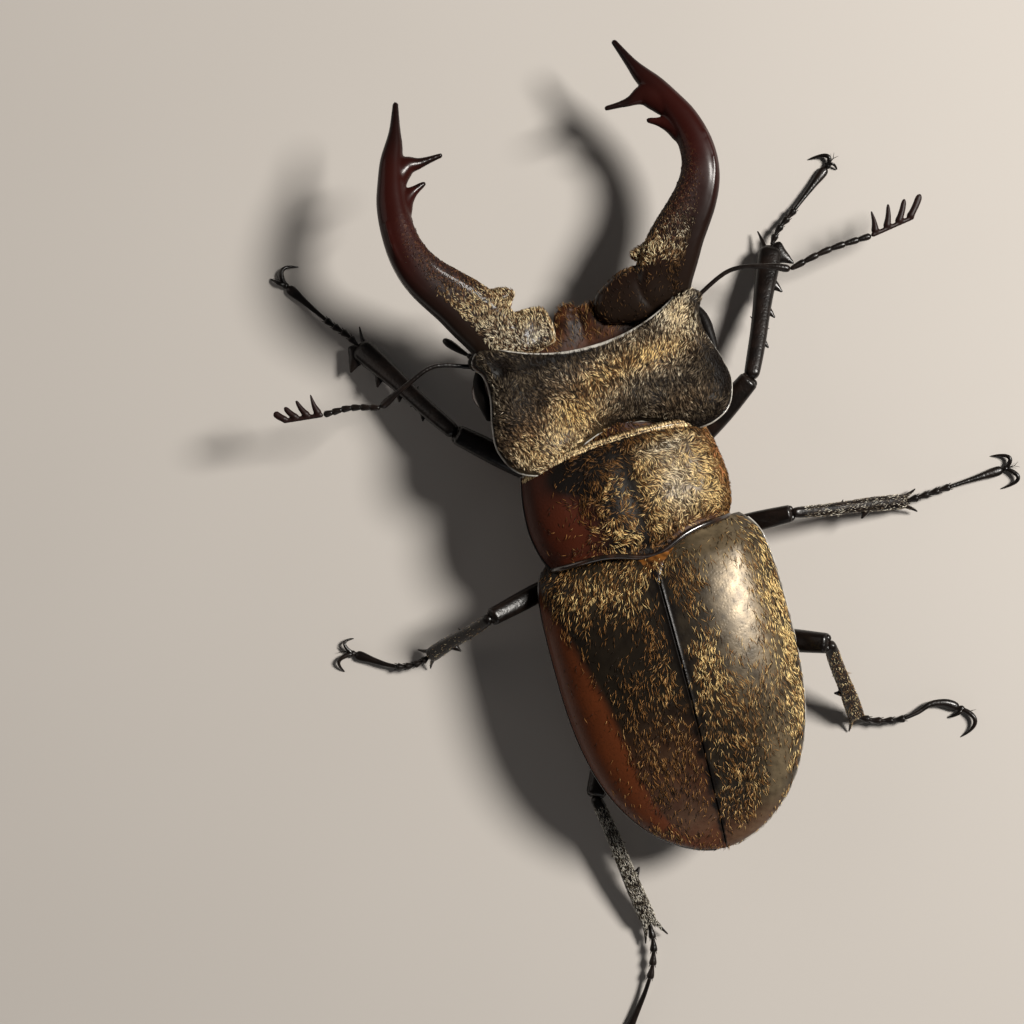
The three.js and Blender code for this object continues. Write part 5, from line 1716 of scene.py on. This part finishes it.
# ---------------------------------------------------------------- coats
for seed, (name, shell) in enumerate(wings.items()):
    grow(
        f"coat_wing_case_{name}", shell, TRUNK, GOLD_HAIR, 100 + seed, 50,
        lambda own, ups: wing_marks(own)["coat"] * top_only(ups) * step(own[:, 1], -1.8, -1.5),
        wing_lie, 0.6, 0.044, rise=0.1, spread=13, clump=0.3,
        bright=lambda own: wing_marks(own)["bright"],
    )
grow(
    "coat_pronotum", pronotum_shell, FRONT, GOLD_HAIR, 110, 78,
    lambda own, ups: pronotum_marks(own)["coat"] * top_only(ups),
    pronotum_lie, 0.5, 0.047, rise=0.14, spread=13, clump=0.5,
    bright=lambda own: pronotum_marks(own)["bright"],
    grey=lambda own: pronotum_marks(own)["grey"],
)
grow(
    "coat_head", head_shell, HEAD, GOLD_HAIR, 120, 112,
    lambda own, ups: head_marks(own)["coat"] * step(ups[:, 2], 0.0, 0.15),
    head_lie, 0.4, 0.048, rise=0.16, spread=13, clump=0.4,
    bright=lambda own: head_marks(own)["bright"],
    grey=lambda own: 1 - head_marks(own)["gold"],
)
grow(
    "coat_face", head_shell, HEAD, GOLD_HAIR, 121, 40,
    lambda own, ups: 0.8 * step(-ups[:, 2], -0.15, 0.0) * step(own[:, 2], -1.6, -1.0)
    * (0.3 + 0.7 * step(-own[:, 1], 5.6, 7.0)),
    lambda own: directions(own[:, 0] * 0.05, -0.4, -1),
    0.45, 0.045, rise=0.18, spread=18, clump=0.3,
    bright=lambda own: 0.55 + 0.2 * ripple(own, 1.3, 122),
    grey=0.25,
)
grow(
    "coat_neck", neck_ring, HEAD, GOLD_HAIR, 125, 60,
    lambda own, ups: 0.7 * step(ups[:, 2], 0.2, 0.5),
    pronotum_lie, 0.45, 0.05, rise=0.25, spread=20, clump=0.4,
    bright=lambda own: 0.3 + 0.25 * step(own[:, 0], -0.5, 1.5),
)
for seed, (name, piece) in enumerate(jaws.items()):
    grow(
        f"coat_jaw_{name}", piece, HEAD, PALE_HAIR, 130 + seed, 105,
        lambda own, ups: jaw_coat(own) * step(ups[:, 2], -0.1, 0.2),
        jaw_lie, 0.36, 0.044, rise=0.16, spread=15, clump=0.45,
        bright=jaw_bright, grey=jaw_grey, scale=lambda own: 0.4 + 0.6 * step(own[:, 1], -17, -13),
    )


def fringe():
    """The pale gold band of close hairs along the pronotum's front edge, under the head."""

    def cover(own, ups):
        ahead = -own[:, 1] - (PRONOTUM_LENGTH + 0.05 - np.abs(own[:, 0] / 7.7) ** 2.2)
        return step(ahead, -0.34, -0.26) * step(own[:, 2], 0.6, 1.6)

    grow(
        "coat_collar", pronotum_shell, FRONT, GOLD_HAIR, 140, 520, cover,
        lambda own: directions(own[:, 0] * 0.02, -1, 0.5),
        0.36, 0.07, rise=0.12, spread=5, bright=1, grey=0.3,
    )


fringe()
grow(
    "coat_shield", shield_plate, TRUNK, GOLD_HAIR, 141, 60,
    lambda own, ups: 0.6 * step(ups[:, 2], 0.2, 0.5) * step(own[:, 1], -0.2, 0.6),
    wing_lie, 0.4, 0.04, rise=0.2, spread=20,
)
grow(
    "coat_lip", lip_plate, HEAD, GOLD_HAIR, 142, 22,
    lambda own, ups: 0.8 * step(ups[:, 2], 0.0, 0.4) * step(-own[:, 1], 7.2, 8.4),
    lambda own: directions(own[:, 0] * 0.2, -1),
    0.55, 0.035, rise=0.2, spread=30, bright=0.45,
)
grow(
    "coat_belly", abdomen, TRUNK, GOLD_HAIR, 150, 24,
    lambda own, ups: 0.8 * step(-ups[:, 2], 0.0, 0.3),
    lambda own: directions(own[:, 0] * 0.05, 1),
    0.6, 0.038, rise=0.2, spread=20,
)
grow(
    "coat_breast", thorax, TRUNK, GOLD_HAIR, 151, 27,
    lambda own, ups: 0.9 * step(-ups[:, 2], 0.1, 0.4),
    lambda own: directions(own[:, 0] * 0.08, 1),
    0.7, 0.04, rise=0.3, spread=24,
)

# Silver share, tone and densest growth of each coated shin. The front ones are bare.
SHIN_COATS = {
    "middle_left": (0.3, 0.7, 14), "middle_right": (0.9, 0.7, 46),
    "hind_left": (1.0, 0.95, 120), "hind_right": (0.1, 0.7, 70),
}
for seed, (name, (silver, tone, density)) in enumerate(SHIN_COATS.items(), 162):
    knee, ankle = Vector(LEGS[name]["knee"]), Vector(LEGS[name]["ankle"])
    axis = np.array((ankle - knee).normalized())

    def on_shaft(own, ups):
        """Leaves the thorns and spurs bare."""
        out = own - np.array(knee)
        along = out @ axis
        gap = np.linalg.norm(out - along[:, None] * axis, axis=1)
        return 0.95 * step(along, 0.5, 1.2) * step(-gap, -0.80, -0.72)

    grow(
        f"coat_shin_{name}", shins[name], TRUNK, PALE_HAIR, seed, density, on_shaft,
        lambda own: np.tile(axis, (len(own), 1)),
        0.27, 0.032, rise=0.06, spread=12,
        bright=lambda own: tone + 0.3 * ripple(own, 1.2, 7),
        grey=silver,
    )

# ---------------------------------------------------------------- floor, light and camera
FLOOR_WIDTH = 1.2  # in metres

deselect()
bpy.ops.mesh.primitive_plane_add(size=FLOOR_WIDTH, location=(0, 0, 0))
floor = bpy.context.object
floor.name = "floor"
pale = Finish("floor_pale", specular_ior_level=0.25)
cloud = pale.noise(60, 2)
pale.set(
    base_color=pale.mix(cloud, (0.38, 0.355, 0.33), (0.415, 0.39, 0.365)),
    roughness=cloud * 0.1 + 0.6,
)
floor.data.materials.append(pale.material)

CAMERA_TURN = math.radians(15)
CAMERA_SPOT = (10.08, -6.70, 177)  # over the beetle, looking straight down
CAMERA_SENSOR, CAMERA_LENS = 36, 71.15
PICTURE_RIGHT = Vector((-math.cos(CAMERA_TURN), math.sin(CAMERA_TURN), 0))
PICTURE_UP = Vector((-math.sin(CAMERA_TURN), -math.cos(CAMERA_TURN), 0))

deselect()
bpy.ops.object.camera_add()
camera = bpy.context.object
camera.data.sensor_width = CAMERA_SENSOR
camera.data.lens = CAMERA_LENS
turn = Matrix((PICTURE_RIGHT, PICTURE_UP, UP)).transposed().to_4x4()
spot = PLACE @ (MM * Vector(CAMERA_SPOT))
camera.matrix_world = Matrix.Translation(spot) @ turn
camera.data.clip_start = 0.01
bpy.context.scene.camera = camera


def lamp(name, right, up, height, size, power, color=(1, 1, 1)):
    """A round soft light aimed at the origin, placed in millimetres as the camera sees it."""
    place = MM * (PICTURE_RIGHT * right + PICTURE_UP * up + UP * height)
    bpy.ops.object.light_add(type="AREA", location=place)
    light = bpy.context.object
    light.name = name
    light.data.shape = "DISK"
    light.data.size = size * MM
    light.data.energy = power
    light.data.color = color
    light.rotation_euler = (-place).to_track_quat("-Z", "Y").to_euler()


lamp("key_light", 260, 110, 330, 120, 3.6, (1.0, 0.96, 0.90))
lamp("fill_light", -330, 120, 170, 300, 0.2, (1.0, 0.90, 0.82))
lamp("far_light", 40, -340, 150, 240, 0.12)
world = bpy.data.worlds.new("studio")
world.use_nodes = True
sky = world.node_tree.nodes["Background"].inputs
sky["Color"].default_value = (0.80, 0.82, 0.86, 1)
sky["Strength"].default_value = 0.05
bpy.context.scene.world = world
bpy.context.scene.view_settings.view_transform = "Standard"
